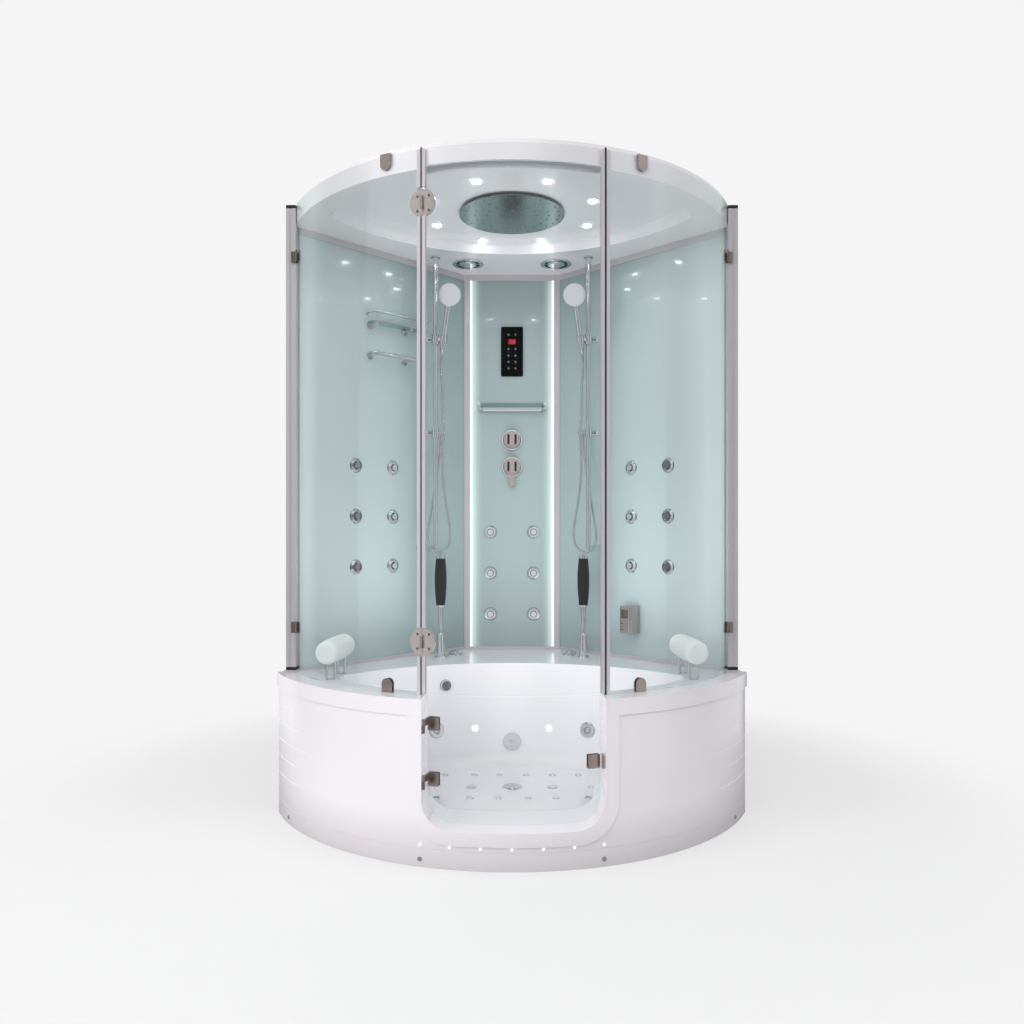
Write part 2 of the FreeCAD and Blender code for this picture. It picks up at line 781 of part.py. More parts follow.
def hinge_half(high, side):
    """side -1 is the half on the fixed glass, 1 the half on the door."""
    disc = common(rod(0, -(glass_inner + 6), high, hinge_round, hinge_plate + 8, "back", joint_left),
                  rod(0, 0, high - 60, glass_inner - snug, 120))
    keep = box(1 if side > 0 else -61, -(glass_inner + 10), high - 60, 60, 40, 120, joint_left)
    half = common(disc, keep)
    low = high + 0.5 if side > 0 else high - 20
    web = box(0.5 if side > 0 else -3.5, -hinge_axis, low, 3, hinge_axis - glass_inner + 8, 19.5,
              joint_left)
    barrel = rod(0, -hinge_axis, low, knuckle - 1, 19.5, "z", joint_left)
    joined = fuse(half, web, barrel)
    if side > 0:
        return cut(joined, rod(0, -hinge_axis, low - 1, pin_radius + 0.4, 22, "z", joint_left))
    pin = rod(0, -hinge_axis, low, pin_radius, 38, "z", joint_left)
    return fuse(joined, pin)


def hinge_screws(high, side):
    heads = []
    for rise in (-23, 23):
        sink = glass_inner + glass_thick + 1.9
        heads.append(rod(20 * side, -sink, high + rise, 4, 1.8, "back", joint_left))
    return heads


fixed_halves = []
door_halves = []
for high in (hinge_upper, hinge_lower):
    fixed_halves.append(hinge_half(high, -1))
    fixed_halves += hinge_screws(high, -1)
    door_halves.append(hinge_half(high, 1))
    door_halves += hinge_screws(high, 1)
group("fixed_hinge_halves", fixed_halves)
group("door_hinge_halves", door_halves)


def glass_clip(angle, low, top):
    """A D-shaped clip on the glass edge; top is True under the roof edge."""
    radius = 18.5
    outer = glass_inner + glass_thick
    face = outer + flat_gap + 5
    tall = 26
    if top:
        plate = box(-radius, -face, low, radius * 2, 5, glass_top + 6 - low, angle)
        nose = rod(0, -face, low, radius, 5, "back", angle)
        bridge = box(-radius, -face, glass_top + flat_gap, radius * 2, face - glass_inner, 5.7, angle)
        return fuse(plate, nose, bridge)
    plate = box(-radius, -face, kerb_top, radius * 2, 5, tall, angle)
    nose = rod(0, -face, kerb_top + tall, radius, 5, "back", angle)
    rear = box(-radius, -(glass_inner - 0.6), kerb_top, radius * 2, 5, tall, angle)
    rear_nose = rod(0, -(glass_inner - 0.6), kerb_top + tall, radius, 5, "back", angle)
    return fuse(plate, nose).Name, plate, nose, rear, rear_nose


clips = []
for angle in (-27.5, 28.5):
    clips.append(glass_clip(angle, glass_top - 26, True))
for angle in (-27.1, 28.1):
    name, plate, nose, rear, rear_nose = glass_clip(angle, 0, False)
    clips.append(doc.getObject(name))
    clips.append(fuse(rear, rear_nose))
for side in (-1, 1):
    for high in (670, 2030):
        edge = fixed_end + 0.1
        near = fixed_end - 2
        far = fixed_end + 0.4
        spans = [(near, far)] if side > 0 else [(-far, -near)]
        caps_span = (edge, far) if side > 0 else (-far, -edge)
        inner = sector(glass_inner - 5, glass_inner - snug, high - 20, high + 20, *spans[0])
        outer = sector(glass_inner + glass_thick + snug, glass_inner + 11, high - 20, high + 20,
                       *spans[0])
        bridge = sector(glass_inner - 5, glass_inner + 11, high - 20, high + 20, *caps_span)
        start = post_x + 0.1 if side > 0 else -post_x - 14.1
        foot = box(start, post_front - 12, high - 20, 14, 11.9, 40)
        clips.append(fuse(inner, outer, bridge, foot))
group("glass_clips", clips)


# ---------------------------------------------------------------- lower door
door_inset = 11.1
lower_pane = common(
    sector(glass_inner, glass_inner + glass_thick, lower_foot, lower_head, -25, 25),
    tunnel_block(num(-door_inset), lower_foot, lower_round, -(glass_inner + 96),
                 -(glass_inner - 164), lower_head + 5))
node("lower_door_glass", lower_pane)



plate_front = glass_inner + glass_thick + 4.2


def lower_plates(high):
    """Door side of one offset hinge: outer and inner plates, arm and knuckle."""
    outer = box(-3.5, -plate_front, high - 21, 36, 3.8, 42, lower_turn)
    link = box(-3.5, -lower_axis, high + 0.5, 7, lower_axis - plate_front + 3, 20.5, lower_turn)
    barrel = rod(0, -lower_axis, high + 0.5, knuckle, 20.5, "z", lower_turn)
    hinge = cut(fuse(outer, link, barrel),
                rod(0, -lower_axis, high - 1, pin_radius + 0.4, 23, "z", lower_turn))
    inner = box(-3.5, -(glass_inner - 1.5), high - 21, 36, 3.5, 42, lower_turn)
    return [hinge, inner]


def tub_knuckle(high):
    axis_x = lower_axis * sine(lower_turn)
    axis_y = -(lower_axis * cosine(lower_turn))
    barrel = rod(0, -lower_axis, high - 21, knuckle, 20.5, "z", lower_turn)
    pin = rod(0, -lower_axis, high - 21, pin_radius, 40, "z", lower_turn)
    start = door_left + flat_gap
    arm = box(start, axis_y - 4, high - 21, axis_x - start, 8, 20.5)
    plate = box(start, axis_y - 14, high - 21, 3, 28, 20.5)
    return fuse(barrel, pin, arm, plate)


fittings = lower_plates(plate_low) + lower_plates(plate_high)
latch_turn = 18.4
fittings.append(box(-41, -plate_front, latch_high, 39, 3.8, 43, latch_turn))
fittings.append(box(-41, -(glass_inner - 1.5), latch_high, 39, 3.5, 43, latch_turn))
group("lower_door_fittings", fittings)
keeper = fuse(box(door_right - flat_gap - 7.5, -846, latch_high + 2, 7.5, 34, 39),
              box(door_right - flat_gap - 7.5, -812.2, latch_high + 8, 7.5, 6, 27))
group("tub_door_fittings", [tub_knuckle(plate_low), tub_knuckle(plate_high), keeper])


# ---------------------------------------------------------------- repeats and forms in code
def copies(name, master, spots):
    """The same small piece set at each placement, as one group."""
    doc.recompute()
    made = []
    for spot in spots:
        piece = master.Shape.copy()
        piece.Placement = spot.multiply(master.Shape.Placement)
        made.append(piece)
    obj = doc.addObject("Part::Feature", name)
    obj.Shape = Part.makeCompound(made)
    return obj


def spot(x, y, z, turn=0, axis="z", tilt=0):
    """A placement in the turned frame, tilted about its own X axis."""
    turned = FreeCAD.Rotation(FreeCAD.Vector(0, 0, 1), num(turn).value)
    tipped = FreeCAD.Rotation(FreeCAD.Vector(1, 0, 0), num(tilt).value)
    return FreeCAD.Placement(world(x, y, z, turn), turned.multiply(AXES[axis]).multiply(tipped))


def solid_group(name, objs):
    """Code-made pieces gathered as one node."""
    doc.recompute()
    solids = []
    for obj in objs:
        solids += obj.Shape.Solids
    made = doc.addObject("Part::Feature", name)
    made.Shape = Part.makeCompound(solids)
    return node(name, made)


def master(obj):
    """Masters are drawn about the origin, not about the arc centre."""
    doc.recompute()
    obj.Visibility = False
    return obj


def plain(kind, low, radius, far, tall):
    """A rod or taper on the Z axis at the origin, for masters."""
    if kind == "rod":
        obj = bind(doc.addObject("Part::Cylinder", "plain"), Radius=radius, Height=tall)
    else:
        obj = bind(doc.addObject("Part::Cone", "plain"), Radius1=radius, Radius2=far, Height=tall)
    obj.setExpression("Placement.Base.z", num(low).text)
    return obj


# ---------------------------------------------------------------- wall jets
jet_base = plain("cone", 0, jet_radius, jet_radius - 3, 4)
jet_dome = plain("cone", 4, jet_radius - 3, jet_radius - 9, jet_deep - 8)
jet_well = plain("rod", 3, jet_radius - 12, 0, 20)
jet_nozzle = plain("cone", 2.5, jet_radius - 14, jet_radius - 18, jet_deep - 4)
jet = master(fuse(cut(fuse(jet_base, jet_dome), jet_well), jet_nozzle))

side_rows = (1283, 1083, 882)
centre_rows = (1020, 839, 658)
places = []
for side in (-1, 1):
    for along in (jet_outer, jet_inner):
        for row in side_rows:
            places.append(spot(along * side, wall_line - 0.1, row, -wall_turn * side, "front"))
    for row in centre_rows:
        places.append(spot(centre_jet_x * side, panel_y - 0.1, row, 0, "front"))
node("wall_jets", copies("wall_jets", jet, places))


def riser(x, line, rows, turn):
    """A standing pipe behind the wall with a stub to each jet."""
    behind = line + wall_thick + 18
    pipe = rod(x, behind, deck_top + flat_gap, 8, rows[0] - deck_top + 10, "z", turn)
    stubs = [rod(x, line + wall_thick + flat_gap, row, 9, 18, "back", turn) for row in rows]
    return fuse(pipe, *stubs)


pipes = []
for side in (-1, 1):
    pipes.append(riser(jet_outer * side, wall_line, side_rows, -wall_turn * side))
    pipes.append(riser(jet_inner * side, wall_line, side_rows, -wall_turn * side))
    pipes.append(riser(centre_jet_x * side, panel_y, centre_rows, 0))
    valve = cut(rod(deck_knob_x * side, deck_knob_y, deck_top - skin - 42, 20, 42 - flat_gap),
                rod(deck_knob_x * side, deck_knob_y, deck_top - skin - 30, 5.4, 40))
    pipes.append(valve)
group("jet_pipework", pipes)


# ---------------------------------------------------------------- control panel and shelves


def make_control_panel():
    body = box(-panel_wide / 2, panel_y - 9, panel_high - panel_tall / 2, panel_wide, 9, panel_tall)
    body = fillet(body, 6, lambda edge: edge.BoundBox.YLength > 1)
    window = box(-17.5, panel_y - 10, 1848, 35, 2, 23)
    keys = []
    for row in (1890.8, 1827.7, 1798.2, 1770.8, 1742.6):
        for side in (-1, 1):
            keys.append(rod(15.6 * side, panel_y - 9.6, row, 6.5, 2, "back"))
    return fuse(cut(body, window), *keys)


node("control_panel", make_control_panel())

bar = box(-shelf_half + 12, panel_y - 18, shelf_high - 17, shelf_half * 2 - 24, 18, 17)
ends = []
for side in (-1, 1):
    ends.append(rod((shelf_half + 4) * side, panel_y, shelf_high + 4, 8, shelf_deep, "front"))
    start = shelf_half - 13 if side > 0 else -shelf_half - 4
    ends.append(box(start, panel_y - 18, shelf_high - 10, 17, 18, 9.7))
    ends.append(rod((shelf_half + 4) * side, panel_y, shelf_high + 4, 13, 4, "front"))
node("centre_shelf_rail", fuse(bar, *ends))

left = wall_turn
side_shelf = box(-469, wall_line - 45, 1854.3, 272, 39.5, 6, left)
centre_plate = box(-shelf_half - 4 + 8 + snug, panel_y - shelf_deep, shelf_high + flat_gap,
                   shelf_half * 2 + 8 - 16 - snug * 2, shelf_deep - 4.5, 8)
group("shelf_glasses", [side_shelf, centre_plate])


def make_wall_rails():
    """Gallery of the side shelf, and the towel bar under it."""
    shelf = []
    front = wall_line - 51
    for x in (-456, -286):
        shelf.append(rod(x, wall_line, 1848, 6, 51, "front", left))
        shelf.append(rod(x, wall_line, 1848, 15, 5, "front", left))
        shelf.append(rod(x, front, 1842, 4, 55, "z", left))
    shelf.append(rod(-469, front, 1895, 4.5, 272, "x", left))
    for x in (-465, -201):
        shelf.append(rod(x, wall_line, 1895, 4.5, 51, "front", left))
        shelf.append(rod(x, wall_line, 1895, 11, 4, "front", left))
    towel = [rod(-485, wall_line - 65, 1725, 8, 245, "x", left)]
    for x in (-456, -286):
        towel.append(rod(x, wall_line, 1725, 6, 65, "front", left))
        towel.append(rod(x, wall_line, 1725, 15, 5, "front", left))
    return [fuse(*shelf), fuse(*towel)]


group("wall_rails", make_wall_rails())

outlet = box(outlet_x, wall_line - 58, 610, 63, 58, 110, -wall_turn)
outlet = fillet(outlet, 14, lambda edge: upright(edge)
                and (edge.BoundBox.Center - world(outlet_x + 31, wall_line - 29, 665, -wall_turn)).dot(
                    FreeCAD.Vector(-1, -1, 0)) > 0)
pocket = box(outlet_x + 14, wall_line - 60, 672, 35, 26, 34, -wall_turn)
slots = [box(outlet_x + 14, wall_line - 60, 624 + 12 * count, 35, 8, 5, -wall_turn)
         for count in range(3)]
node("steam_outlet", cut(outlet, pocket, *slots))


# ---------------------------------------------------------------- mixer
def mixer_rosette(high):
    ring = cone(0, panel_y, high, mixer_radius + 1.5, mixer_radius - 2, 6, "front")
    return cut(ring, rod(0, panel_y + 1, high, 7, 10, "front"))


def make_mixer_body():
    body = box(-45, panel_y + wall_thick + flat_gap, mixer_low - 25, 90, 46,
               mixer_high - mixer_low + 50)
    rear = panel_y + wall_thick + flat_gap + 46
    middle = (mixer_low + mixer_high) * 0.5
    inlets = [rod(22 * side, rear - 4, middle, 10, 30, "back") for side in (-1, 1)]
    nuts = [rod(22 * side, rear + 8, middle, 14, 12, "back") for side in (-1, 1)]
    wells = [rod(22 * side, rear - 22, middle, 6.5, 70, "back") for side in (-1, 1)]
    seats = [rod(0, panel_y, high, 6.4, 24, "back") for high in (mixer_high, mixer_low)]
    return cut(fuse(body, *inlets, *nuts), *wells, *seats)


group("mixer_valves", [make_mixer_body(), mixer_rosette(mixer_high), mixer_rosette(mixer_low)])


def mixer_handle(high, lever):
    front = panel_y - 6.3
    disc = cone(0, front, high, mixer_radius - 6, mixer_radius - 10, 20, "front")
    grip = box(-12, front - 38, high - 26.5, 24, 19, 53)
    spindle = rod(0, front - 1, high, 6, 28, "back")
    pieces = [disc, grip, spindle]
    if lever:
        pieces.append(box(-11.5, front - 16, high - 88, 23, 12, 62))
    return fuse(*pieces)


node("mixer_knob", mixer_handle(mixer_high, False))
node("mixer_lever", mixer_handle(mixer_low, True))


# ---------------------------------------------------------------- basin fittings
def basin_spot(x, height, lift):
    """A placement on the sloping back of the basin, Z pointing into the water."""
    rise = (height - basin_floor.value) / (deck_top.value + 20 - basin_floor.value)
    reach = basin_back.value - basin_draft.value * (1 - rise) - lift
    swing = math.asin(x / reach)
    point = world(x, basin_back_y.value + reach * math.cos(swing), height)
    slope = math.degrees(math.atan(basin_draft.value / (deck_top.value + 20 - basin_floor.value)))
    turned = FreeCAD.Rotation(FreeCAD.Vector(0, 0, 1), -math.degrees(swing))
    facing = turned.multiply(FreeCAD.Rotation(FreeCAD.Vector(1, 0, 0), 90 - slope))
    return FreeCAD.Placement(point, facing)


bath_ring = plain("cone", 0, 31, 26, 6)
bath_well = plain("rod", 3, 17, 0, 10)
bath_ball = plain("cone", 2, 14, 7, 8)
bath_jet = master(fuse(cut(bath_ring, bath_well), bath_ball))
jets = copies("bath_jet_copies", bath_jet, [basin_spot(x, 250.0, 0.75) for x in (-293, 293)])

cover_base = plain("cone", 0, 36, 33, 7)
cover_well = plain("rod", 5, 26, 0, 10)
cover_hub = plain("cone", 4, 9, 7, 6)
suction = master(fuse(cut(cover_base, cover_well), cover_hub))
cover = copies("suction_copy", suction, [basin_spot(0.0, suction_high.value, 0.95)])
ring_base = plain("cone", 0, 24, 22, 4)
ring_bore = plain("rod", -1, 6.5, 0, 10)
overflow_ring = master(cut(ring_base, ring_bore))
plate = copies("overflow_plate", overflow_ring,
               [basin_spot(overflow_x.value, overflow_high.value, 0.45)])
solid_group("bath_jets", [jets, cover, plate])

knob_disc = plain("cone", 4.3, 21, 18, 10)
knob_stem = plain("rod", -16, 5.5, 0, 22)
knob_well = plain("rod", 10, 12, 0, 10)
knob_bar = bind(doc.addObject("Part::Box", "knob_bar"), Length=24, Width=5, Height=9)
knob_bar.Placement = FreeCAD.Placement(FreeCAD.Vector(-12, -2.5, 7), FreeCAD.Rotation())
overflow_master = master(fuse(cut(knob_disc, knob_well), knob_stem, knob_bar))
overflow_spot = basin_spot(overflow_x.value, overflow_high.value, 0.45)
node("overflow_knob", copies("overflow_knob", overflow_master, [overflow_spot]))

lamps = []
for count in range(7):
    angle = (count - 3) * 5.85
    lamps.append(rod(0, -(apron_radius + 2.6), skirt_line + 14, 4.6, 2.5, "back", angle))
for count in range(8):
    angle = 22.5 + 45 * count
    x = 310 * math.cos(math.radians(angle))
    y = -350 + 310 * math.sin(math.radians(angle))
    lamps.append(rod(x, y, recess_top - 3, 13, 3))
basin_lamp = master(plain("cone", 0, 14, 12, 3))
lamps.append(copies("basin_lamps", basin_lamp, [basin_spot(x, 248.0, 0.2) for x in (-145, 145)]))
solid_group("led_lights", lamps)

air_small = master(plain("cone", 0, 15, 12, 3))
air_large = master(plain("cone", 0, 21, 17, 3.5))
small_spots = [(-250, -294), (-141, -294), (-47, -294), (53, -294), (151, -294), (248, -294),
               (-283, -444), (283, -444), (-259, -569), (-143, -569), (-47, -569), (56, -569),
               (151, -569), (261, -569)]
buttons = copies("small_air_jets", air_small, [spot(x, y, basin_floor) for x, y in small_spots])
wide = copies("large_air_jets", air_large, [spot(x, -444, basin_floor) for x in (-145, 145)])
flange = cone(0, drain_y, basin_floor, drain_radius, drain_radius - 2, 2.5)
tail = rod(0, drain_y, basin_floor - skin + flat_gap, drain_radius - 10.5, skin + 1)
drain_ring = cut(fuse(flange, tail), rod(0, drain_y, basin_floor - 20, 20, 40))
solid_group("floor_air_jets", [buttons, wide, drain_ring])

cap = cone(0, drain_y, basin_floor + 2.8, 27, 24, 4)
stem = rod(0, drain_y, basin_floor - 45, 4, 50)
node("drain_plug", fuse(cap, stem))

trap_body = cut(rod(0, drain_y, 40, 38, basin_floor - skin - flat_gap - 40),
                rod(0, drain_y, 55, 20, 60))
outlet_pipe = rod(60, drain_y - 17, 50, 16, 961, "back")
elbow = rod(26, drain_y, 50, 14, 34, "x")
bridge = cut(box(-24, drain_y - 3, 57, 48, 6, 6), rod(0, drain_y, 50, 4.35, 30))
overflow_run = fuse(rod(-275, -80, 56, 16, 354), rod(-275, -80, 70, 13, 428, "z", 0,
                    FreeCAD.Rotation(FreeCAD.Vector(0, 0, 1), FreeCAD.Vector(275, -364, 0))))
bore = rod(60, 400, 50, 13, 110, "back")
node("waste_trap", cut(fuse(trap_body, outlet_pipe, elbow, bridge, overflow_run), bore,
                       rod(0, drain_y, 66, 20, 60)))


# ---------------------------------------------------------------- pillows
pillow_reach = root(glass_inner * glass_inner - 520 * 520) - pillow_radius - 2.5


def make_pillow(side):
    """A crowned roll with rounded ends, lying along the tub edge."""
    crown = pillow_radius.value
    end = crown - 2.5
    soft = 15.0
    length = 239.0
    start = FreeCAD.Vector(0, 0, 0)
    turn = math.radians(45)
    low_a = FreeCAD.Vector(end - soft, 0, 0)
    low_b = FreeCAD.Vector(end - soft + soft * math.sin(turn), 0, soft - soft * math.cos(turn))
    low_c = FreeCAD.Vector(end, 0, soft)
    middle = FreeCAD.Vector(crown, 0, length / 2)
    high_c = FreeCAD.Vector(end, 0, length - soft)
    high_b = FreeCAD.Vector(low_b.x, 0, length - low_b.z)
    high_a = FreeCAD.Vector(end - soft, 0, length)
    finish = FreeCAD.Vector(0, 0, length)
    edges = [
        Part.makeLine(start, low_a),
        Part.Arc(low_a, low_b, low_c).toShape(),
        Part.Arc(low_c, middle, high_c).toShape(),
        Part.Arc(high_c, high_b, high_a).toShape(),
        Part.makeLine(high_a, finish),
        Part.makeLine(finish, start),
    ]
    face = Part.Face(Part.Wire(edges))
    roll = face.revolve(FreeCAD.Vector(), FreeCAD.Vector(0, 0, 1), 360)
    rear = world((pillow_reach.value - 19) * side, -297, 600)
    front = world(pillow_reach.value * side, -535, 600)
    facing = FreeCAD.Rotation(FreeCAD.Vector(0, 0, 1), rear - front)
    roll.Placement = FreeCAD.Placement(front, facing)
    return shaped("pillow", roll)


solid_group("pillows", [make_pillow(-1), make_pillow(1)])
pins = []
for side in (-1, 1):
    for x, y in ((pillow_reach - 4.3, -480.8), (pillow_reach - 14.6, -351.3)):
        for shift in (-14, 14):
            pins.append(rod((x + shift) * side, y, deck_top, 5, 58.2))
        pins.append(rod(x * side, y, deck_top, 9, 3))
group("pillow_pins", pins)


# ---------------------------------------------------------------- slide rails and outlets
rail_out = (rail_x + rail_y) * 0.70710678
rail_along = (rail_x - rail_y) * 0.70710678
union_out = (union_x + union_y) * 0.70710678
union_along = (union_x - union_y) * 0.70710678
rails = []
for side in (-1, 1):
    turn = -wall_turn * side
    x = rail_x * side
    bar = rod(x, rail_y, rail_foot - 10, rail_radius, roof_low - rail_foot + 10)
    collar = rod(x, rail_y, roof_low - 46, rail_radius + 2.5, 40)
    top = rod(x, rail_y, roof_low - 6, rail_radius * 2, 6)
    reach = wall_line - rail_out
    horn = cone(rail_along * side, rail_out, rail_foot, 9, 15, reach - 5, "back", turn)
    seat = rod(rail_along * side, rail_out + reach - 6, rail_foot, 19, 5.9, "back", turn)
    rails.append(fuse(bar, collar, top, horn, seat))
    body = rod(union_along * side, wall_line - 0.1, union_high + 16, 12, wall_line - union_out,
               "front", turn)
    seat = rod(union_along * side, wall_line - 0.1, union_high + 16, 22, 6, "front", turn)
    drop = rod(union_along * side, union_out, union_high, 9, 22, "z", turn)
    rails.append(fuse(body, seat, drop))
group("slide_rails", rails)


# ---------------------------------------------------------------- hand showers
grip_lean = FreeCAD.Vector(0.17, -0.45, 0.877)


def lean(side):
    return FreeCAD.Vector(-grip_lean.x * side, grip_lean.y, grip_lean.z).normalize()


def along_grip(side, distance):
    """The point of the grip's axis at a distance from the holder."""
    direction = lean(side)
    start = FreeCAD.Vector(socket_x.value * side, socket_y.value, slider_high.value)
    return start + direction * float(distance)


def leaning(side, distance, radius, far_radius, length, direction=None):
    """A rod or taper along the grip's axis, or along another direction from there."""
    point = along_grip(side, distance)
    heading = direction if direction else lean(side)
    own = FreeCAD.Rotation(FreeCAD.Vector(0, 0, 1), heading)
    if far_radius is None:
        return rod(point.x, point.y, point.z, radius, length, "z", 0, own)
    return cone(point.x, point.y, point.z, radius, far_radius, length, "z", 0, own)


def make_hand_shower(side):
    facing = FreeCAD.Vector(-0.05 * side, -0.96, -0.28).normalize()
    grip = leaning(side, grip_low, grip_radius, None, grip_high - grip_low)
    nut = leaning(side, grip_low - 18, 8, 10.5, 18)
    neck = leaning(side, grip_high, grip_radius, grip_radius - 1, head_along - grip_high)
    rear = leaning(side, head_along, 20, head_radius, head_deep - 6, facing)
    centre = along_grip(side, head_along) + facing * (head_deep.value - 6)
    own = FreeCAD.Rotation(FreeCAD.Vector(0, 0, 1), facing)
    rim = rod(centre.x, centre.y, centre.z, head_radius, 7, "z", 0, own)
    face = rod(centre.x, centre.y, centre.z, head_radius - 7, 9, "z", 0, own)
    boss = leaning(side, head_along, 13, 18, 8, facing * -1)
    return fuse(grip, nut, neck, rear, rim, face, boss)


def make_slider(side, high, holder):
    """A sleeve on the rail with its clamp knob and a holder on the inner side."""
    x = rail_x * side
    sleeve = rod(x, rail_y, high - sleeve_tall / 2, sleeve_radius, sleeve_tall)
    knob_axis = "x" if side > 0 else "left"
    knob = cone((rail_x + sleeve_radius - 2) * side, rail_y, high, 8, 12, 17, knob_axis)
    grip = rod((rail_x + sleeve_radius + 14) * side, rail_y, high, 12.5, 6, knob_axis)
    pieces = [sleeve, knob, grip]
    bores = [rod(x, rail_y, high - sleeve_tall, rail_radius + snug, sleeve_tall * 2)]
    if holder:
        pieces.append(leaning(side, -16, 15.5, None, 32))
        start = rail_x - 20 if side > 0 else -rail_x + 4
        pieces.append(box(start, rail_y - 11, high - 7, 16, 15, 14))
        bores.append(leaning(side, -60, grip_radius + snug, None, 120))
    else:
        pieces.append(rod(guide_x * side, guide_y, high - 8, 10, 16))
        reach = world(guide_x * side, guide_y, high) - world(x, rail_y, high)
        own = FreeCAD.Rotation(FreeCAD.Vector(0, 0, 1), reach)
        pieces.append(rod(x, rail_y, high, 6, reach.Length, "z", 0, own))
        bores.append(rod(guide_x * side, guide_y, high - 30, hose_radius + 1.0, 60))
    return cut(fuse(*pieces), *bores)


for side, word in ((-1, "left"), (1, "right")):
    node(word + "_slider", make_slider(side, slider_high, True))
    node(word + "_hose_guide", make_slider(side, slider_low, False))
    node(word + "_hand_shower", make_hand_shower(side))

# The left hose, from the grip down through its guide, round and up to the wall union.
hose_route = [
    (-296.7, 56.5, 1731.1),
    (-293.0, 46.0, 1672.0),
    (-287.0, 26.0, 1620.0),
    (-287.5, 13.0, 1558.0),
    (-285.0, 8.0, 1495.0),
    (-279.0, 8.0, 1428.0),
    (-283.0, 7.6, 1360.0),
    (-285.5, 7.6, 1292.0),
    (-281.0, 8.0, 1224.0),
    (-274.0, 8.0, 1160.0),
    (-264.0, 7.0, 1100.0),
    (-254.5, 6.0, 1042.0),
    (-252.0, 5.0, 992.0),
    (-266.0, 4.0, 953.0),
    (-298.0, 4.0, 933.0),
    (-333.0, 7.0, 946.0),
    (-348.0, 14.0, 985.0),
    (-345.0, 25.0, 1036.0),
    (-337.0, 38.0, 1092.0),
    (-328.0, 52.0, 1152.0),
    (-320.0, 70.0, 1216.0),
    (-312.0, 92.0, 1284.0),
    (-305.0, 117.0, 1350.0),
    (-302.0, 134.0, 1398.0),
]


def tube_along(points, radius):
    """A round tube on straight runs joined by tangent arcs; prints its radii."""
    edges = []
    radii = []
    last = points[0]
    for before, corner, after in zip(points, points[1:], points[2:]):
        back = before - corner
        onward = after - corner
        bend = math.pi - back.getAngle(onward)
        shorter = min(back.Length, onward.Length)
        arc_radius = 0.45 * shorter / math.tan(bend / 2)
        trim = 0.45 * shorter
        start = corner + FreeCAD.Vector(back).normalize() * trim
        finish = corner + FreeCAD.Vector(onward).normalize() * trim
        bisector = (FreeCAD.Vector(back).normalize() + FreeCAD.Vector(onward).normalize()).normalize()
        centre_gap = math.sqrt(arc_radius ** 2 + trim ** 2)
        middle = corner + bisector * (centre_gap - arc_radius)
        edges.append(Part.LineSegment(last, start).toShape())
        edges.append(Part.Arc(start, middle, finish).toShape())
        radii.append(arc_radius)
        last = finish
    edges.append(Part.LineSegment(last, points[-1]).toShape())
    path = Part.Wire(edges)
    heading = points[1] - points[0]
    ring = Part.Wire(Part.makeCircle(radius, points[0], heading))
    pipe = path.makePipeShell([ring], True, False)
    share = pipe.Volume / (math.pi * radius ** 2 * path.Length)
    print("hose", round(path.Length, 1), "long, least radius", round(min(radii), 1),
          "volume share", round(share, 4))
    return pipe


for side, word in ((-1, "left"), (1, "right")):
    begin = along_grip(side, grip_low.value - 18.3)
    route = [FreeCAD.Vector(begin.x, begin.y + centre_y.value, begin.z)]
    for x, y, z in hose_route:
        route.append(FreeCAD.Vector(-x * side, y + centre_y.value, z))
    route.append(FreeCAD.Vector(union_x.value * side, union_y.value + centre_y.value,
                                union_high.value - 0.3))
    if side < 0:
        print("left hose route", [(round(p.x, 1), round(p.y, 1), round(p.z, 1)) for p in route])
    route = [FreeCAD.Vector(p.x, p.y, p.z) for p in route]
    node(word + "_hose", shaped(word + "_hose", tube_along(route, hose_radius.value)))


# ---------------------------------------------------------------- deck handsets and knobs
sockets = []
for side, word in ((-1, "left"), (1, "right")):
    x = deck_hand_x * side
    flange = cone(x, deck_hand_y, deck_top, 27, 24, 6)
    body = rod(x, deck_hand_y, deck_top + 5, 16.5, 88)
    collar = cone(x, deck_hand_y, deck_top + 93, 16.5, 12, 8)
    well = rod(x, deck_hand_y, deck_top + 30, 7.8, 90)
    sockets.append(cut(fuse(flange, body, collar), well))
    stem = rod(x, deck_hand_y, deck_top + 60, 7.4, 56)
    neck = cone(x, deck_hand_y, deck_top + 115, 7.4, 13.5, 100)
    flare = cone(x, deck_hand_y, deck_top + 208, 13.5, 18.5, 8)
    lower = cone(x, deck_hand_y, deck_top + 216, 18.5, 24.5, 70)
    middle = cone(x, deck_hand_y, deck_top + 286, 24.5, 25, 60)
    upper = cone(x, deck_hand_y, deck_top + 346, 25, 19.5, 65)
    ring = rod(x, deck_hand_y, deck_top + 411, 20.5, 10)
    crown = cone(x, deck_hand_y, deck_top + 421, 19, 14, 4)
    node(word + "_deck_handset", fuse(stem, neck, flare, lower, middle, upper, ring, crown))
    x = deck_knob_x * side
    base = cone(x, deck_knob_y, deck_top + flat_gap, deck_knob_radius, deck_knob_radius - 1, 6)
    dome = cone(x, deck_knob_y, deck_top + 6, deck_knob_radius - 1, deck_knob_radius - 13, 8)
    ridge = box(x - 3, deck_knob_y - 20, deck_top + 8, 6, 40, 9)
    spindle = rod(x, deck_knob_y, deck_top - skin - 26, 5, 40)
    node(word + "_deck_knob", fuse(base, dome, ridge, spindle))
group("deck_sockets", sockets)


# ---------------------------------------------------------------- gear out of sight
def make_generator():
    case = box(-90, 320, deck_top, 180, 150, 300)
    case = fillet(case, 10, upright)
    outlet_tube = rod(88, 440, 665, 9, 560, "z", 0, FreeCAD.Rotation(
        FreeCAD.Vector(0, 0, 1), FreeCAD.Vector(400, -400, 0)))
    return fuse(case, outlet_tube)


node("steam_generator", make_generator())


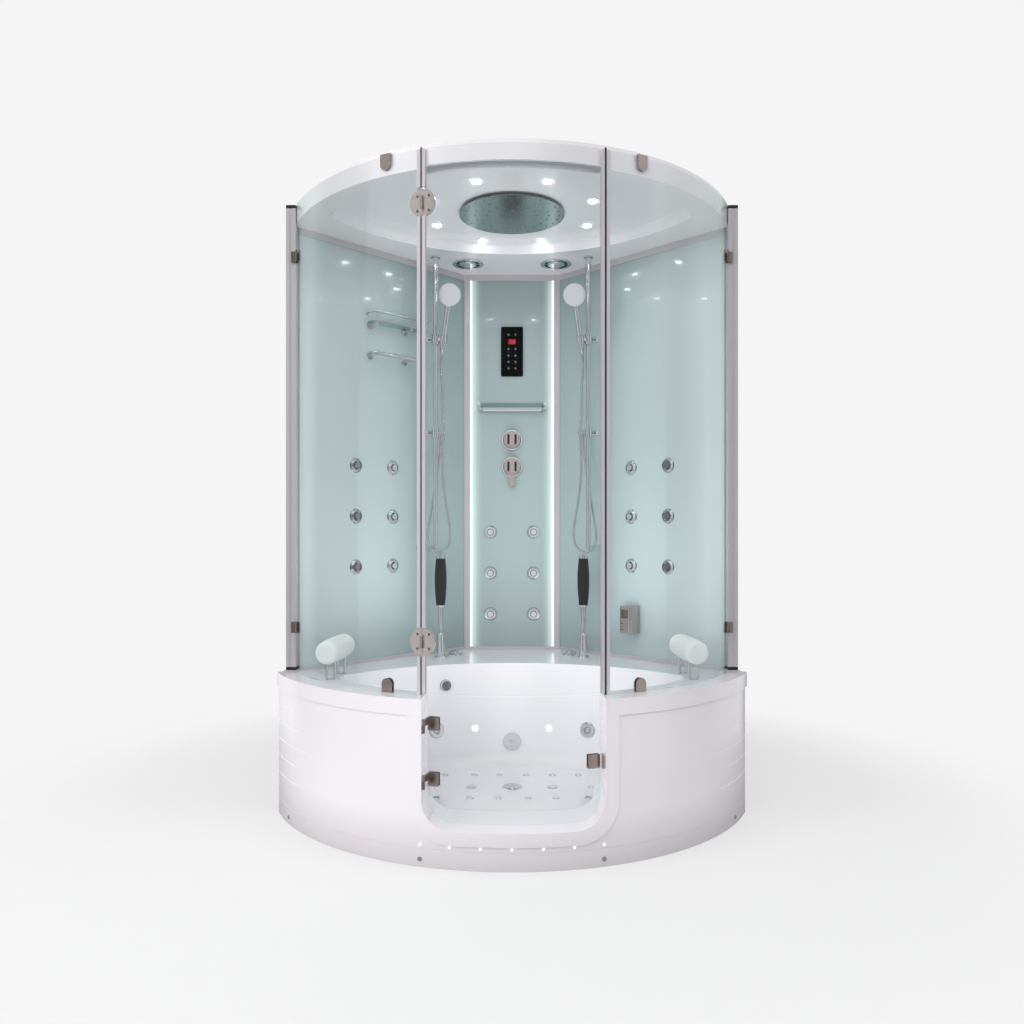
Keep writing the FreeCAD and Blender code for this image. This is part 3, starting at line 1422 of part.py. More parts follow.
def make_pump():
    plate = box(-220, 120, 102, 440, 140, 6)
    motor = rod(-210, 190, 168, 55, 130, "x")
    fins = [rod(-200 + 22 * count, 190, 168, 60, 8, "x") for count in range(5)]
    volute = rod(-80, 190, 168, 60, 45, "x")
    inlet = rod(-35, 190, 168, 20, 40, "x")
    blower = cone(130, 190, 108, 60, 55, 110)
    blower_top = cone(130, 190, 218, 30, 24, 30)
    return fuse(plate, motor, volute, inlet, blower, blower_top, *fins)


node("circulation_pump", make_pump())


def make_fan_housing():
    x = -grille_x
    low = roof_low + roof_skin
    wall_ring = cut(rod(x, grille_y, low, 58, 63.7), rod(x, grille_y, low - 1, 52, 70))
    bars = [box(x - 54, grille_y - 3, low + 55, 108, 6, 6),
            box(x - 3, grille_y - 54, low + 55, 6, 108, 6)]
    motor = rod(x, grille_y, low + 38.3, 17, 20)
    return fuse(wall_ring, motor, *bars)


def make_speaker():
    x = grille_x
    low = roof_low + roof_skin
    flange = rod(x, grille_y, low, 58, 3)
    basket = cone(x, grille_y, low + 2, 52, 30, 26)
    magnet = rod(x, grille_y, low + 27, 30, 16)
    bowl = cone(x, grille_y, low - 1, 48, 26, 24)
    return cut(fuse(flange, basket, magnet), bowl)


group("ceiling_units", [make_fan_housing(), make_speaker()])


def make_rotor():
    x = -grille_x
    low = roof_low + roof_skin
    hub = rod(x, grille_y, low + 12, 15, 26)
    blades = []
    for count in range(5):
        blade = bind(doc.addObject("Part::Box", "blade"), Length=36, Width=22, Height=2)
        angle = FreeCAD.Rotation(FreeCAD.Vector(0, 0, 1), 72 * count)
        pitch = FreeCAD.Rotation(FreeCAD.Vector(1, 0, 0), 32)
        middle = angle.multVec(FreeCAD.Vector(11, -9, low.value + 18))
        place(blade, x + middle.x, grille_y + middle.y, middle.z, 0, "z", angle.multiply(pitch))
        blades.append(blade)
    return fuse(hub, *blades)


node("fan_rotor", make_rotor())


# ---------------------------------------------------------------- check and export
doc.recompute()
for obj in doc.Objects:
    if "Invalid" in obj.State or "Error" in obj.State:
        users = [other.Label for other in obj.InList]
        raise ValueError("%s is in error: %s, used by %s" % (obj.Name, obj.State, users))
for name, obj in zip(NAMES, NODES):
    if obj.Shape.isNull() or not obj.Shape.isValid() or not obj.Shape.Solids:
        raise ValueError(name + " has no valid solid")
for name, obj in zip(NAMES, NODES):
    obj.Shape.exportStep("parts/%s.step" % name)
print(len(NODES), "nodes")
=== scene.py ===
# Looks, soft pieces and studio for the steam shower cabin. Metres, row frame:
# origin in the middle of the base on the floor, X right, Y to the back, Z up.
import math

import bmesh
import bpy
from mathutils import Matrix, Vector


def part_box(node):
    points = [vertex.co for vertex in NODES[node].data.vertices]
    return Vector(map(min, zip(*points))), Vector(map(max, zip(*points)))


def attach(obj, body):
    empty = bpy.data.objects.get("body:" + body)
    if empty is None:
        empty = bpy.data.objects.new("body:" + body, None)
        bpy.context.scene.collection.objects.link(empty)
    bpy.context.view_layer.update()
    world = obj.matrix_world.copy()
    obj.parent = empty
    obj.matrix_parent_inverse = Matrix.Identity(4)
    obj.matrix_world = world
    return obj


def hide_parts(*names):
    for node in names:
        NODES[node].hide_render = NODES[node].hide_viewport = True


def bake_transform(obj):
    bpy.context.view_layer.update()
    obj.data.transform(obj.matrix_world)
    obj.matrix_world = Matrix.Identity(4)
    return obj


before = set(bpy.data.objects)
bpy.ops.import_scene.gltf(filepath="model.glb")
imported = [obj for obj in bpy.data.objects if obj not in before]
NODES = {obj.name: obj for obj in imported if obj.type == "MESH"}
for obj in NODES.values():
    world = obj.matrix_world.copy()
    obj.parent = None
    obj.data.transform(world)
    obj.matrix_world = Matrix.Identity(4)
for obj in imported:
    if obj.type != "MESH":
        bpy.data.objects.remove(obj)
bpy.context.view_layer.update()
ARC_Y = 0.2005  # the arc centre of the tub and of the glass lies this far back


# ---------------------------------------------------------------- colour and node helpers
def srgb(code):
    """A #RRGGBB colour as linear RGBA."""
    parts = [int(code[i:i + 2], 16) / 255.0 for i in (1, 3, 5)]
    line = [p / 12.92 if p <= 0.04045 else ((p + 0.055) / 1.055) ** 2.4 for p in parts]
    return (line[0], line[1], line[2], 1.0)


def add(tree, kind, inputs=None, **settings):
    """Add one shader node, set its settings and sockets, and join what is linked."""
    made = tree.nodes.new(kind)
    for name, value in settings.items():
        setattr(made, name, value)
    for name, value in (inputs or {}).items():
        socket = made.inputs[name]
        if isinstance(value, bpy.types.NodeSocket):
            tree.links.new(value, socket)
        else:
            socket.default_value = value
    return made


def calc(tree, kind, first, second=None):
    """One step of arithmetic."""
    inputs = {0: first} if second is None else {0: first, 1: second}
    return add(tree, "ShaderNodeMath", inputs, operation=kind).outputs["Value"]


def spread(tree, value, low, high, least=0.0, most=1.0, **settings):
    """A value between low and high, mapped to least and most."""
    inputs = {"Value": value, "From Min": low, "From Max": high, "To Min": least, "To Max": most}
    return add(tree, "ShaderNodeMapRange", inputs, **settings).outputs["Result"]


def mix_colours(tree, factor, first, second):
    inputs = {"Factor": factor, "A": first, "B": second}
    return add(tree, "ShaderNodeMix", inputs, data_type="RGBA").outputs["Result"]


def mix_shaders(tree, factor, first, second):
    return add(tree, "ShaderNodeMixShader", {0: factor, 1: first, 2: second}).outputs["Shader"]


def coordinates(tree, kind):
    """Object coordinates, or the way that a face is turned."""
    return add(tree, "ShaderNodeTexCoord").outputs[kind]


def axes(tree, vector):
    """The X, Y and Z of a vector."""
    return add(tree, "ShaderNodeSeparateXYZ", {"Vector": vector}).outputs


def principled(tree, colour, roughness, **more):
    """A surface shader; more sockets are named with _ for each space."""
    inputs = {"Base Color": colour, "Roughness": roughness}
    for name, value in more.items():
        inputs[name.replace("_", " ")] = value
    return add(tree, "ShaderNodeBsdfPrincipled", inputs).outputs["BSDF"]


def see_through(tree, colour):
    return add(tree, "ShaderNodeBsdfTransparent", {"Color": colour}).outputs["BSDF"]


def emission(tree, colour, strength):
    return add(tree, "ShaderNodeEmission",
               {"Color": colour, "Strength": strength}).outputs["Emission"]


def bump_noise(tree, scale, strength, distance):
    """Fine unevenness for a surface."""
    noise = add(tree, "ShaderNodeTexNoise",
                {"Vector": coordinates(tree, "Object"), "Scale": scale})
    return add(tree, "ShaderNodeBump", {"Height": noise.outputs["Fac"], "Strength": strength,
                                        "Distance": distance}).outputs["Normal"]


def material(name):
    """A new empty material and its node tree."""
    made = bpy.data.materials.new(name)
    made.use_nodes = True
    made.node_tree.nodes.clear()
    return made, made.node_tree


def output(tree, shader):
    add(tree, "ShaderNodeOutputMaterial", {"Surface": shader})


def plain_material(name, colour, roughness, metallic=0.0, specular=0.5, bump=None):
    """One colour and one gloss all over, with fine unevenness where bump is given."""
    made, tree = material(name)
    more = {"Normal": bump_noise(tree, *bump)} if bump else {}
    output(tree, principled(tree, srgb(colour), roughness, Metallic=metallic,
                            Specular_IOR_Level=specular, **more))
    return made


def glow(name, colour, strength):
    """A lit diffuser or figure."""
    made, tree = material(name)
    output(tree, emission(tree, srgb(colour), strength))
    return made


# ---------------------------------------------------------------- materials
HOLLOW_LOW = 2.15  # the hollow roof: its floor lies between these two heights
HOLLOW_HIGH = 2.215
HOLLOW_LID = 2.2  # its lid lies above this height
# strength of the painted glow inside the hollow roof
HOLLOW_PAINTED_GLOW = 0.1


def painted_roof_glow(tree, height):
    """Painted glow on the faces inside the hollow roof, standing in for light there; nothing on
    what is seen outside.
    """
    turned = axes(tree, coordinates(tree, "Normal"))["Z"]
    floor_band = calc(tree, "MULTIPLY", calc(tree, "GREATER_THAN", height, HOLLOW_LOW),
                      calc(tree, "LESS_THAN", height, HOLLOW_HIGH))
    floor_part = calc(tree, "MULTIPLY", floor_band, calc(tree, "GREATER_THAN", turned, 0.3))
    lid_part = calc(tree, "MULTIPLY", calc(tree, "GREATER_THAN", height, HOLLOW_LID),
                    calc(tree, "LESS_THAN", turned, -0.5))
    both = calc(tree, "MAXIMUM", floor_part, lid_part)
    return calc(tree, "MULTIPLY", both, HOLLOW_PAINTED_GLOW)


BASIN_EDGE = 0.80  # distance from the arc centre where the inside of the tub ends; painted shade greys the acrylic inside it
APRON_FACE = 0.90
FOOT_SHADE = 0.16  # height up to which painted shade turns the apron greyer towards the floor


def white_acrylic():
    """Glossy white moulded acrylic, with painted shade making it a little greyer inside the tub
    and along the foot.

    A painted glow lights the faces inside the roof's hollow, which shows above the door.
    """
    made, tree = material("white acrylic")
    place = coordinates(tree, "Object")
    centred = add(tree, "ShaderNodeVectorMath", {0: place, 1: (0.0, ARC_Y, 0.0)},
                  operation="SUBTRACT").outputs["Vector"]
    level = add(tree, "ShaderNodeVectorMath", {0: centred, 1: (1.0, 1.0, 0.0)},
                operation="MULTIPLY").outputs["Vector"]
    reach = add(tree, "ShaderNodeVectorMath", {0: level}, operation="LENGTH").outputs["Value"]
    height = axes(tree, place)["Z"]
    # painted shade: a little greyer inside the tub, and greyer along the foot towards the floor
    body = mix_colours(tree, spread(tree, reach, BASIN_EDGE, APRON_FACE),
                       srgb("#F4F3F6"), srgb("#FBF6FB"))
    colour = mix_colours(tree, spread(tree, height, 0.0, FOOT_SHADE), srgb("#DAD4D8"), body)
    # the emission is a painted glow inside the hollow roof
    output(tree, principled(tree, colour, 0.22, Coat_Weight=0.6, Coat_Roughness=0.06,
                            Emission_Color=srgb("#C2CCCE"),
                            Emission_Strength=painted_roof_glow(tree, height),
                            Normal=bump_noise(tree, 6.0, 0.06, 0.002)))
    return made


def clear_glass(name, tint, edge_tint):
    """Thin clear safety glass: see-through, greener and a little mirroring at a low angle."""
    made, tree = material(name)
    facing = add(tree, "ShaderNodeLayerWeight", {"Blend": 0.28}).outputs["Facing"]
    through = see_through(tree, mix_colours(tree, facing, srgb(tint), srgb(edge_tint)))
    shine = add(tree, "ShaderNodeBsdfGlossy", {"Color": srgb("#FFFFFF"), "Roughness": 0.01})
    mirror = add(tree, "ShaderNodeFresnel", {"IOR": 1.38}).outputs["Fac"]
    weight = calc(tree, "MULTIPLY", mirror, 0.16)
    output(tree, mix_shaders(tree, weight, through, shine.outputs["BSDF"]))
    return made


STRIP_X = 0.181  # the light strips stand this far from the middle plane
# where the painted glow on the wall ends, how strong it is at the strip, and on which side it
# lies
PAINTED_SPILLS = ((STRIP_X - 0.052, 0.62, "LESS_THAN"), (STRIP_X + 0.022, 0.38, "GREATER_THAN"))


def painted_strip_glow(tree, away):
    """Painted glow on the fronts of the walls beside the two upright light strips, standing in
    for their spilled light.
    """
    spilled = []
    for end, peak, side in PAINTED_SPILLS:
        near = calc(tree, "POWER", spread(tree, away, end, STRIP_X), 2.0)
        part = calc(tree, "MULTIPLY", near, calc(tree, side, away, STRIP_X))
        spilled.append(calc(tree, "MULTIPLY", part, peak))
    turned = axes(tree, coordinates(tree, "Normal"))["Y"]
    front = calc(tree, "LESS_THAN", turned, -0.1)
    return calc(tree, "MULTIPLY", calc(tree, "ADD", *spilled), front)


WALL_PAINTED_SHADE_TO = 0.42  # painted light makes the walls lighter between these two distances from the middle plane
WALL_PAINTED_LIGHT_FROM = 0.80


def wall_glass():
    """Pale green back-painted glass, with painted light making it lighter towards the posts and
    a painted glow beside the light strips.
    """
    made, tree = material("back-painted green glass")
    away = calc(tree, "ABSOLUTE", axes(tree, coordinates(tree, "Object"))["X"])
    # painted shade near the middle and painted light towards the posts, on one pale green glass
    colour = mix_colours(tree, spread(tree, away, WALL_PAINTED_SHADE_TO, WALL_PAINTED_LIGHT_FROM),
                         srgb("#97A7A8"), srgb("#C5D0D3"))
    # the emission is a painted glow beside the light strips
    output(tree, principled(tree, colour, 0.16, Coat_Weight=0.4, Coat_Roughness=0.02,
                            Specular_IOR_Level=0.5, Emission_Color=srgb("#EAFBFA"),
                            Emission_Strength=painted_strip_glow(tree, away)))
    return made


def pale_seal():
    """Soft pale vinyl, a little see-through."""
    made, tree = material("pale vinyl seal")
    skin = principled(tree, srgb("#DEDADF"), 0.28)
    output(tree, mix_shaders(tree, 0.72, see_through(tree, srgb("#F4F4F6")), skin))
    return made


DOOR_HALF = 0.255  # rubber nearer the middle plane than this lies over the door


def gasket_rubber():
    """Rubber up the door edges, grey on the left and black on the right; pale over the door."""
    made, tree = material("black rubber gasket")
    across = axes(tree, coordinates(tree, "Object"))["X"]
    tone = mix_colours(tree, calc(tree, "GREATER_THAN", across, 0.0),
                       srgb("#77767A"), srgb("#1A1A1C"))
    over_door = calc(tree, "LESS_THAN", calc(tree, "ABSOLUTE", across), DOOR_HALF)
    output(tree, mix_shaders(tree, over_door, principled(tree, tone, 0.5),
                             principled(tree, srgb("#EFEEF1"), 0.35)))
    return made


def lit_lens():
    """Small lamps: bright ones in the ceiling, softer ones in the tub below."""
    made, tree = material("lit lens")
    height = axes(tree, coordinates(tree, "Object"))["Z"]
    output(tree, emission(tree, srgb("#F3FBFF"), spread(tree, height, 0.9, 1.9, 1.15, 34.0)))
    return made


def hose_metal():
    """Chromed spiral hose: fine rings across its length, with painted highlight and painted
    shade in light and dark bands along them.
    """
    made, tree = material("chromed spiral hose")
    rings = add(tree, "ShaderNodeTexWave",
                {"Vector": coordinates(tree, "Object"), "Scale": 70.0, "Distortion": 0.0},
                wave_type="BANDS", bands_direction="Z").outputs["Fac"]
    bump = add(tree, "ShaderNodeBump", {"Height": rings, "Strength": 0.5, "Distance": 0.001})
    # light and dark bands: painted highlight and painted shade on the rings
    output(tree, principled(tree, mix_colours(tree, rings, srgb("#9EA1A5"), srgb("#F0F1F3")),
                            0.2, Metallic=1.0, Normal=bump.outputs["Normal"]))
    return made


GRIP_FOOT = 0.7165  # the black grip of a deck handset lies between these two heights
GRIP_HEAD = 0.9105


def handset_grip():
    """Deck handset: soft black plastic on its grip, chrome above and below it."""
    made, tree = material("black grip with chrome ends")
    height = axes(tree, coordinates(tree, "Object"))["Z"]
    inside = calc(tree, "MULTIPLY", calc(tree, "GREATER_THAN", height, GRIP_FOOT),
                  calc(tree, "LESS_THAN", height, GRIP_HEAD))
    output(tree, mix_shaders(tree, inside, principled(tree, srgb("#D6D8DB"), 0.1, Metallic=1.0),
                             principled(tree, srgb("#17181A"), 0.42)))
    return made


# moulded shell of tub, apron and roof
ACRYLIC = white_acrylic()
# bent panes and doors
GLASS = clear_glass("clear safety glass", "#FEFEFE", "#EDF4F2")
# small flat shelves
SHELF_GLASS = clear_glass("clear shelf glass", "#F6FAF9", "#D6E2E0")
# the three rear walls
WALL = wall_glass()
# mirror-bright rails, showers, jets and grilles
CHROME = plain_material("polished chrome", "#DADCDF", 0.10, metallic=1.0)
# duller, warmer plated metal of hinges, knobs and screws
SATIN = plain_material("satin chrome", "#C9BDBA", 0.24, metallic=1.0)
# the plate of the rain shower
BRUSHED = plain_material("brushed stainless steel", "#B4C0C0", 0.22, metallic=1.0)
# darker plated clips and lower door fittings
DARK = plain_material("dark nickel", "#A79A95", 0.26, metallic=1.0)
# matt silver posts and wall trims
ALUMINIUM = plain_material("anodised aluminium", "#CFCACE", 0.38, metallic=0.6)
# post caps and ceiling housings
BLACK = plain_material("black plastic", "#141416", 0.45)
# strips between fixed and moving glass
RUBBER = gasket_rubber()
# face of the control panel
GLOSS_BLACK = plain_material("black glass panel", "#020203", 0.5, specular=0.04)
# soft seals of doors and panes
VINYL = pale_seal()
# fine-grained skin of the head rolls
FOAM = plain_material("white foam skin", "#F7F7F8", 0.55, bump=(90.0, 0.08, 0.001))
# tub frame, feet and the box of the steam generator
STEEL = plain_material("grey painted steel", "#9EA1A6", 0.45)
# pump housing
CASING = plain_material("dark pump casing", "#2E3338", 0.5)
# water and air pipes
PIPE = plain_material("white plastic pipe", "#E2E1DC", 0.4)
# small round lamps
LAMP = lit_lens()
# two upright diffusers in the corner
STRIP = glow("light strip diffuser", "#F2FFFD", 1.3)
# both shower hoses
HOSE = hose_metal()
# window, figures, keys and key signs of the control panel
DISPLAY_GLOW = plain_material("red display window", "#5A0E12", 0.4)
DISPLAY_RED = glow("red display figures", "#FF3038", 1.6)
KEY_GREY = plain_material("grey key print", "#3C3F43", 0.5)
KEY_PALE = plain_material("pale key sign", "#C9CDD0", 0.5)
# painted shade for the recesses of the mixer knobs
PAINTED_SLOT_SHADE = plain_material("painted finger slot shade", "#1B1B1D", 0.5)
# both handsets on the deck
GRIP = handset_grip()

FINISHES = {
    "tub_basin": ACRYLIC, "front_apron": ACRYLIC, "roof_canopy": ACRYLIC,
    "apron_screws": SATIN, "tub_frame": STEEL, "levelling_feet": STEEL,
    "wall_panels": WALL, "wall_trims": ALUMINIUM, "light_strips": STRIP,
    "corner_posts": ALUMINIUM, "post_caps": BLACK, "rain_shower_head": BRUSHED,
    "ceiling_grilles": CHROME, "fixed_glass": GLASS, "upper_door_glass": GLASS,
    "lower_door_glass": GLASS, "fixed_glass_seals": VINYL, "door_seals": VINYL,
    "gasket_strips": RUBBER, "fixed_hinge_halves": SATIN, "door_hinge_halves": SATIN,
    "glass_clips": DARK, "lower_door_fittings": DARK, "tub_door_fittings": DARK,
    "wall_jets": CHROME, "jet_pipework": PIPE, "control_panel": GLOSS_BLACK,
    "centre_shelf_rail": CHROME, "shelf_glasses": SHELF_GLASS, "wall_rails": CHROME,
    "steam_outlet": SATIN, "mixer_valves": CHROME, "mixer_knob": SATIN, "mixer_lever": SATIN,
    "bath_jets": CHROME, "overflow_knob": CHROME, "led_lights": LAMP,
    "floor_air_jets": CHROME, "drain_plug": CHROME, "waste_trap": PIPE, "pillows": FOAM,
    "pillow_pins": CHROME, "slide_rails": CHROME, "left_slider": CHROME, "right_slider": CHROME,
    "left_hose_guide": CHROME, "right_hose_guide": CHROME, "left_hand_shower": CHROME,
    "right_hand_shower": CHROME, "left_hose": HOSE, "right_hose": HOSE,
    "left_deck_handset": GRIP, "right_deck_handset": GRIP, "left_deck_knob": CHROME,
    "right_deck_knob": CHROME, "deck_sockets": CHROME, "steam_generator": STEEL,
    "circulation_pump": CASING, "ceiling_units": BLACK, "fan_rotor": BLACK,
}


def dress(name, finish):
    """Give a CAD node its finish."""
    mesh = NODES[name].data
    mesh.materials.clear()
    mesh.materials.append(finish)
    for face in mesh.polygons:
        face.material_index = 0


for node_name, node_finish in FINISHES.items():
    dress(node_name, node_finish)


def show(name, data):
    """Put a mesh, curve, lamp or camera into the scene as a new object."""
    obj = bpy.data.objects.new(name, data)
    bpy.context.scene.collection.objects.link(obj)
    return obj


# ---------------------------------------------------------------- hoses
# the left hose from its hand shower down to the loop and up to the wall union
HOSE_ROUTE = [
    (-0.2909, 0.2417, 1.7609), (-0.2967, 0.2570, 1.7311), (-0.2930, 0.2465, 1.6720),
    (-0.2870, 0.2265, 1.6200), (-0.2875, 0.2135, 1.5580), (-0.2850, 0.2085, 1.4950),
    (-0.2790, 0.2085, 1.4280), (-0.2830, 0.2081, 1.3600), (-0.2855, 0.2081, 1.2920),
    (-0.2810, 0.2085, 1.2240), (-0.2740, 0.2085, 1.1600), (-0.2640, 0.2075, 1.1000),
    (-0.2545, 0.2065, 1.0420), (-0.2520, 0.2055, 0.9920), (-0.2660, 0.2045, 0.9530),
    (-0.2980, 0.2045, 0.9330), (-0.3330, 0.2075, 0.9460), (-0.3480, 0.2145, 0.9850),
    (-0.3450, 0.2255, 1.0360), (-0.3370, 0.2385, 1.0920), (-0.3280, 0.2525, 1.1520),
    (-0.3200, 0.2705, 1.2160), (-0.3120, 0.2925, 1.2840), (-0.3050, 0.3175, 1.3500),
    (-0.3020, 0.3345, 1.3980), (-0.3020, 0.3345, 1.4247),
]
HOSE_RADIUS = 0.005


def round_tube(name, route):
    """A round tube along the route, as a mesh."""
    curve = bpy.data.curves.new(name, "CURVE")
    curve.dimensions = "3D"
    curve.bevel_depth = HOSE_RADIUS
    curve.bevel_resolution = 5
    curve.resolution_u = 8
    line = curve.splines.new("NURBS")
    line.points.add(len(route) - 1)
    for point, place in zip(line.points, route):
        point.co = (*place, 1.0)
    line.order_u = 3
    line.use_endpoint_u = True
    drawn = show(name + "_line", curve)
    bpy.context.view_layer.update()
    graph = bpy.context.evaluated_depsgraph_get()
    mesh = bpy.data.meshes.new_from_object(drawn.evaluated_get(graph))
    bpy.data.objects.remove(drawn)
    for face in mesh.polygons:
        face.use_smooth = True
    return mesh


def make_hose(name, side, node):
    """A round hose along its route between the wall and its holder."""
    route = [(x * side, y, z) for x, y, z in HOSE_ROUTE]
    mesh = round_tube(name, route)
    mesh.materials.clear()
    mesh.materials.append(HOSE)
    hose = show(name, mesh)
    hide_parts(node)
    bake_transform(hose)


make_hose("left_shower_hose", 1, "left_hose")
make_hose("right_shower_hose", -1, "right_hose")


# ---------------------------------------------------------------- display, keys and painted slot shade
PRINT_THICK = 0.0003


def flat_piece(name, outlines, front, finish, body):
    """Thin raised shapes on a surface that faces the front, in one object."""
    made = bmesh.new()
    for outline in outlines:
        face = made.faces.new([made.verts.new((x, front, z)) for x, z in outline])
        grown = bmesh.ops.extrude_face_region(made, geom=[face])
        moved = [part for part in grown["geom"] if isinstance(part, bmesh.types.BMVert)]
        bmesh.ops.translate(made, verts=moved, vec=(0, -PRINT_THICK, 0))
    bmesh.ops.recalc_face_normals(made, faces=made.faces)
    mesh = bpy.data.meshes.new(name)
    made.to_mesh(mesh)
    made.free()
    mesh.materials.append(finish)
    obj = show(name, mesh)
    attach(obj, body)


def bar(x, z, wide, tall):
    """Corners of a bar around a point."""
    return [(x - wide / 2, z - tall / 2), (x + wide / 2, z - tall / 2),
            (x + wide / 2, z + tall / 2), (x - wide / 2, z + tall / 2)]


def disc(x, z, radius, steps=20):
    """Points of a disc around a point."""
    turns = [math.tau * step / steps for step in range(steps)]
    return [(x + radius * math.cos(a), z + radius * math.sin(a)) for a in turns]


# strokes of a seven-stroke figure: place across, place up, wide, tall, in figure heights
STROKES = {
    "top": (0, 0.5, 0.42, 0.12), "middle": (0, 0, 0.42, 0.12), "bottom": (0, -0.5, 0.42, 0.12),
    "upper_left": (-0.25, 0.25, 0.12, 0.42), "upper_right": (0.25, 0.25, 0.12, 0.42),
    "lower_left": (-0.25, -0.25, 0.12, 0.42), "lower_right": (0.25, -0.25, 0.12, 0.42),
}
FIGURES = {
    "3": ("top", "middle", "bottom", "upper_right", "lower_right"),
    "8": tuple(STROKES),
}
SHOWN_NUMBER = "38"
DISPLAY_HIGH = 1.8595
WINDOW_WIDE = 0.035
WINDOW_TALL = 0.023
FIGURE_TALL = 0.0155
FIGURE_STEP = 0.0145
KEY_X = 0.0156
KEY_RADIUS = 0.0052
KEY_HEIGHTS = (1.8908, 1.8277, 1.7982, 1.7708, 1.7426)
SIGN_LONG = 0.0042
SIGN_THIN = 0.0011


def display():
    """Lit number of the control panel, its window and its ten keys with plus signs."""
    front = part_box("control_panel")[0][1]
    window = bar(0, DISPLAY_HIGH, WINDOW_WIDE, WINDOW_TALL)
    flat_piece("display_window", [window], front, DISPLAY_GLOW, "cabin")
    strokes = []
    for place, figure in enumerate(SHOWN_NUMBER):
        centre = (place - 0.5) * FIGURE_STEP
        for part in FIGURES[figure]:
            x, z, wide, tall = (FIGURE_TALL * value for value in STROKES[part])
            strokes.append(bar(centre + x, DISPLAY_HIGH + z, wide, tall))
    flat_piece("display_figures", strokes, front - PRINT_THICK, DISPLAY_RED, "cabin")
    rings = []
    signs = []
    for high in KEY_HEIGHTS:
        for side in (-1, 1):
            rings.append(disc(KEY_X * side, high, KEY_RADIUS))
            signs.append(bar(KEY_X * side, high, SIGN_LONG, SIGN_THIN))
            signs.append(bar(KEY_X * side, high, SIGN_THIN, SIGN_LONG))
    flat_piece("panel_keys", rings, front, KEY_GREY, "cabin")
    flat_piece("panel_key_signs", signs, front - PRINT_THICK, KEY_PALE, "cabin")


display()

SLOT_X = 0.0155
SLOT_WIDE = 0.0095
SLOT_TALL = 0.040


def knob_slot_shades(node, body, high):
    """Painted shade for the two finger slots beside the raised bar on a mixer knob: thin dark
    sheets on its front.
    """
    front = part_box(node)[0][1]
    slot_shades = [bar(x, high, SLOT_WIDE, SLOT_TALL) for x in (-SLOT_X, SLOT_X)]
    flat_piece(node + "_slots", slot_shades, front, PAINTED_SLOT_SHADE, body)


knob_slot_shades("mixer_knob", "diverter_knob", 1.427)
knob_slot_shades("mixer_lever", "mixer_handle", 1.308)


# ---------------------------------------------------------------- studio
FLOOR_NEAR = 1.25  # the floor fades out between these two distances from the object
FLOOR_FAR = 2.3
FLOOR_SINK = 0.0005
FLOOR_SIDES = 64


def floor_paint():
    """Pale floor paint that takes the soft shadow and fades out away from the object."""
    made, tree = material("studio floor paint")
    seen = add(tree, "ShaderNodeLightPath").outputs["Is Camera Ray"]
    bright = emission(tree, srgb("#F5F5F5"), spread(tree, seen, 0.0, 1.0, 0.03, 0.52))
    paint = add(tree, "ShaderNodeBsdfDiffuse", {"Color": (0.42, 0.42, 0.42, 1.0)})
    both = add(tree, "ShaderNodeAddShader", {0: bright, 1: paint.outputs["BSDF"]})
    reach = add(tree, "ShaderNodeVectorMath", {0: coordinates(tree, "Object")},
                operation="LENGTH").outputs["Value"]
    fade = spread(tree, reach, FLOOR_NEAR, FLOOR_FAR, interpolation_type="SMOOTHSTEP")
    away = add(tree, "ShaderNodeBsdfTransparent").outputs["BSDF"]
    output(tree, mix_shaders(tree, fade, both.outputs["Shader"], away))
    return made


def make_floor():
    """Round studio floor under the cabin."""
    mesh = bpy.data.meshes.new("studio floor")
    turns = [math.tau * i / FLOOR_SIDES for i in range(FLOOR_SIDES)]
    ring = [(FLOOR_FAR * math.cos(a), FLOOR_FAR * math.sin(a), 0.0) for a in turns]
    mesh.from_pydata(ring, [], [tuple(range(FLOOR_SIDES))])
    mesh.materials.append(floor_paint())
    floor = show("studio floor", mesh)
    floor.location.z = -FLOOR_SINK


make_floor()

# name, place, where it aims, width, height, watts, and whether polished metal mirrors it
LIGHTS = (
    ("front panel", (-1.2, -5.0, 2.6), (0, 0, 1.0), 3.5, 3.0, 80, False),
    ("left panel", (-4.4, -2.8, 2.2), (0, 0, 0.8), 2.5, 3.5, 98, False),
    ("right panel", (4.6, -2.4, 2.4), (0, 0, 1.1), 2.5, 3.5, 41, False),
    ("top panel", (0.0, 0.0, 5.2), (0, 0, 0), 4.0, 4.0, 22, True),
    ("cabin fill", (0.0, -0.30, 2.10), (0, 0.0, 0.2), 0.9, 0.6, 3.0, False),
    ("cabin lift", (0.0, -0.25, 0.62), (0, -0.1, 2.2), 0.8, 0.5, 6.6, False),
    ("cabin left", (0.25, -0.45, 1.25), (-0.75, 0.1, 1.2), 0.6, 1.5, 1.8, False),
    ("cabin right", (-0.25, -0.45, 1.25), (0.75, 0.1, 1.2), 0.6, 1.5, 0.4, False),
)


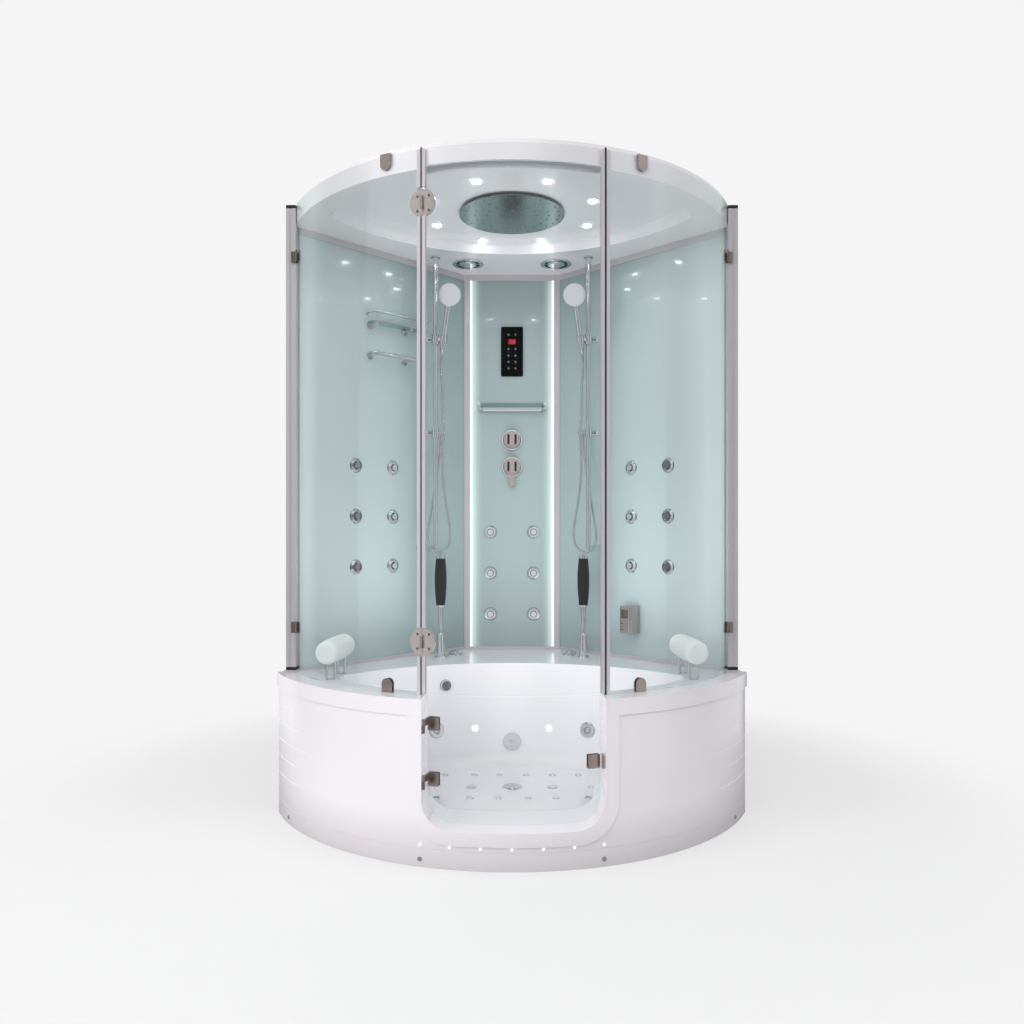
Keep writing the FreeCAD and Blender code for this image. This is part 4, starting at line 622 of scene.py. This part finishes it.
def soft_light(name, place, aim, wide, tall, watts, mirrored):
    """A large soft panel light."""
    lamp = bpy.data.lights.new(name, "AREA")
    lamp.shape = "RECTANGLE"
    lamp.size = wide
    lamp.size_y = tall
    lamp.energy = watts
    obj = show(name, lamp)
    obj.location = place
    obj.rotation_euler = (Vector(aim) - Vector(place)).to_track_quat("-Z", "Y").to_euler()
    obj.visible_camera = False
    obj.visible_glossy = mirrored


for light in LIGHTS:
    soft_light(*light)


def studio_bands(tree, direction):
    """Dark and bright bands around the horizon, for what polished metal reflects."""
    turn = calc(tree, "ADD", calc(tree, "MULTIPLY", direction["X"], 8.5), 1.2)
    band = spread(tree, calc(tree, "SINE", turn), -0.3, 0.5, 0.16, 0.95)
    rise = spread(tree, direction["Z"], 0.35, 0.8, 0.0, 0.5)
    return calc(tree, "ADD", band, rise)


def backdrop(tree, colour, strength):
    return add(tree, "ShaderNodeBackground",
               {"Color": srgb(colour), "Strength": strength}).outputs["Background"]


def make_world():
    """Even white surroundings; the camera sees the plain backdrop colour."""
    world = bpy.data.worlds.new("studio")
    world.use_nodes = True
    tree = world.node_tree
    tree.nodes.clear()
    path = add(tree, "ShaderNodeLightPath").outputs
    direction = axes(tree, coordinates(tree, "Generated"))
    light = backdrop(tree, "#FBFBFD", spread(tree, direction["Z"], -0.25, 0.25, 0.16, 0.60))
    mirrored = backdrop(tree, "#F4F5F6", studio_bands(tree, direction))
    shiny = mix_shaders(tree, path["Is Glossy Ray"], light, mirrored)
    seen = backdrop(tree, "#F5F5F5", 1.0)
    mixed = mix_shaders(tree, path["Is Camera Ray"], shiny, seen)
    add(tree, "ShaderNodeOutputWorld", {"Surface": mixed})
    bpy.context.scene.world = world


make_world()


# ---------------------------------------------------------------- camera
def make_camera():
    """The photograph's view: level, straight from the front, a little above the middle."""
    lens = bpy.data.cameras.new("photo camera")
    lens.sensor_width = 36.0
    lens.lens = 29.82
    lens.shift_y = 0.020
    camera = show("photo camera", lens)
    camera.location = (0.0, -3.2701, 1.0183)
    camera.rotation_euler = (math.radians(90.0), 0.0, 0.0)
    bpy.context.scene.camera = camera


make_camera()
bpy.context.scene.view_settings.view_transform = "Standard"
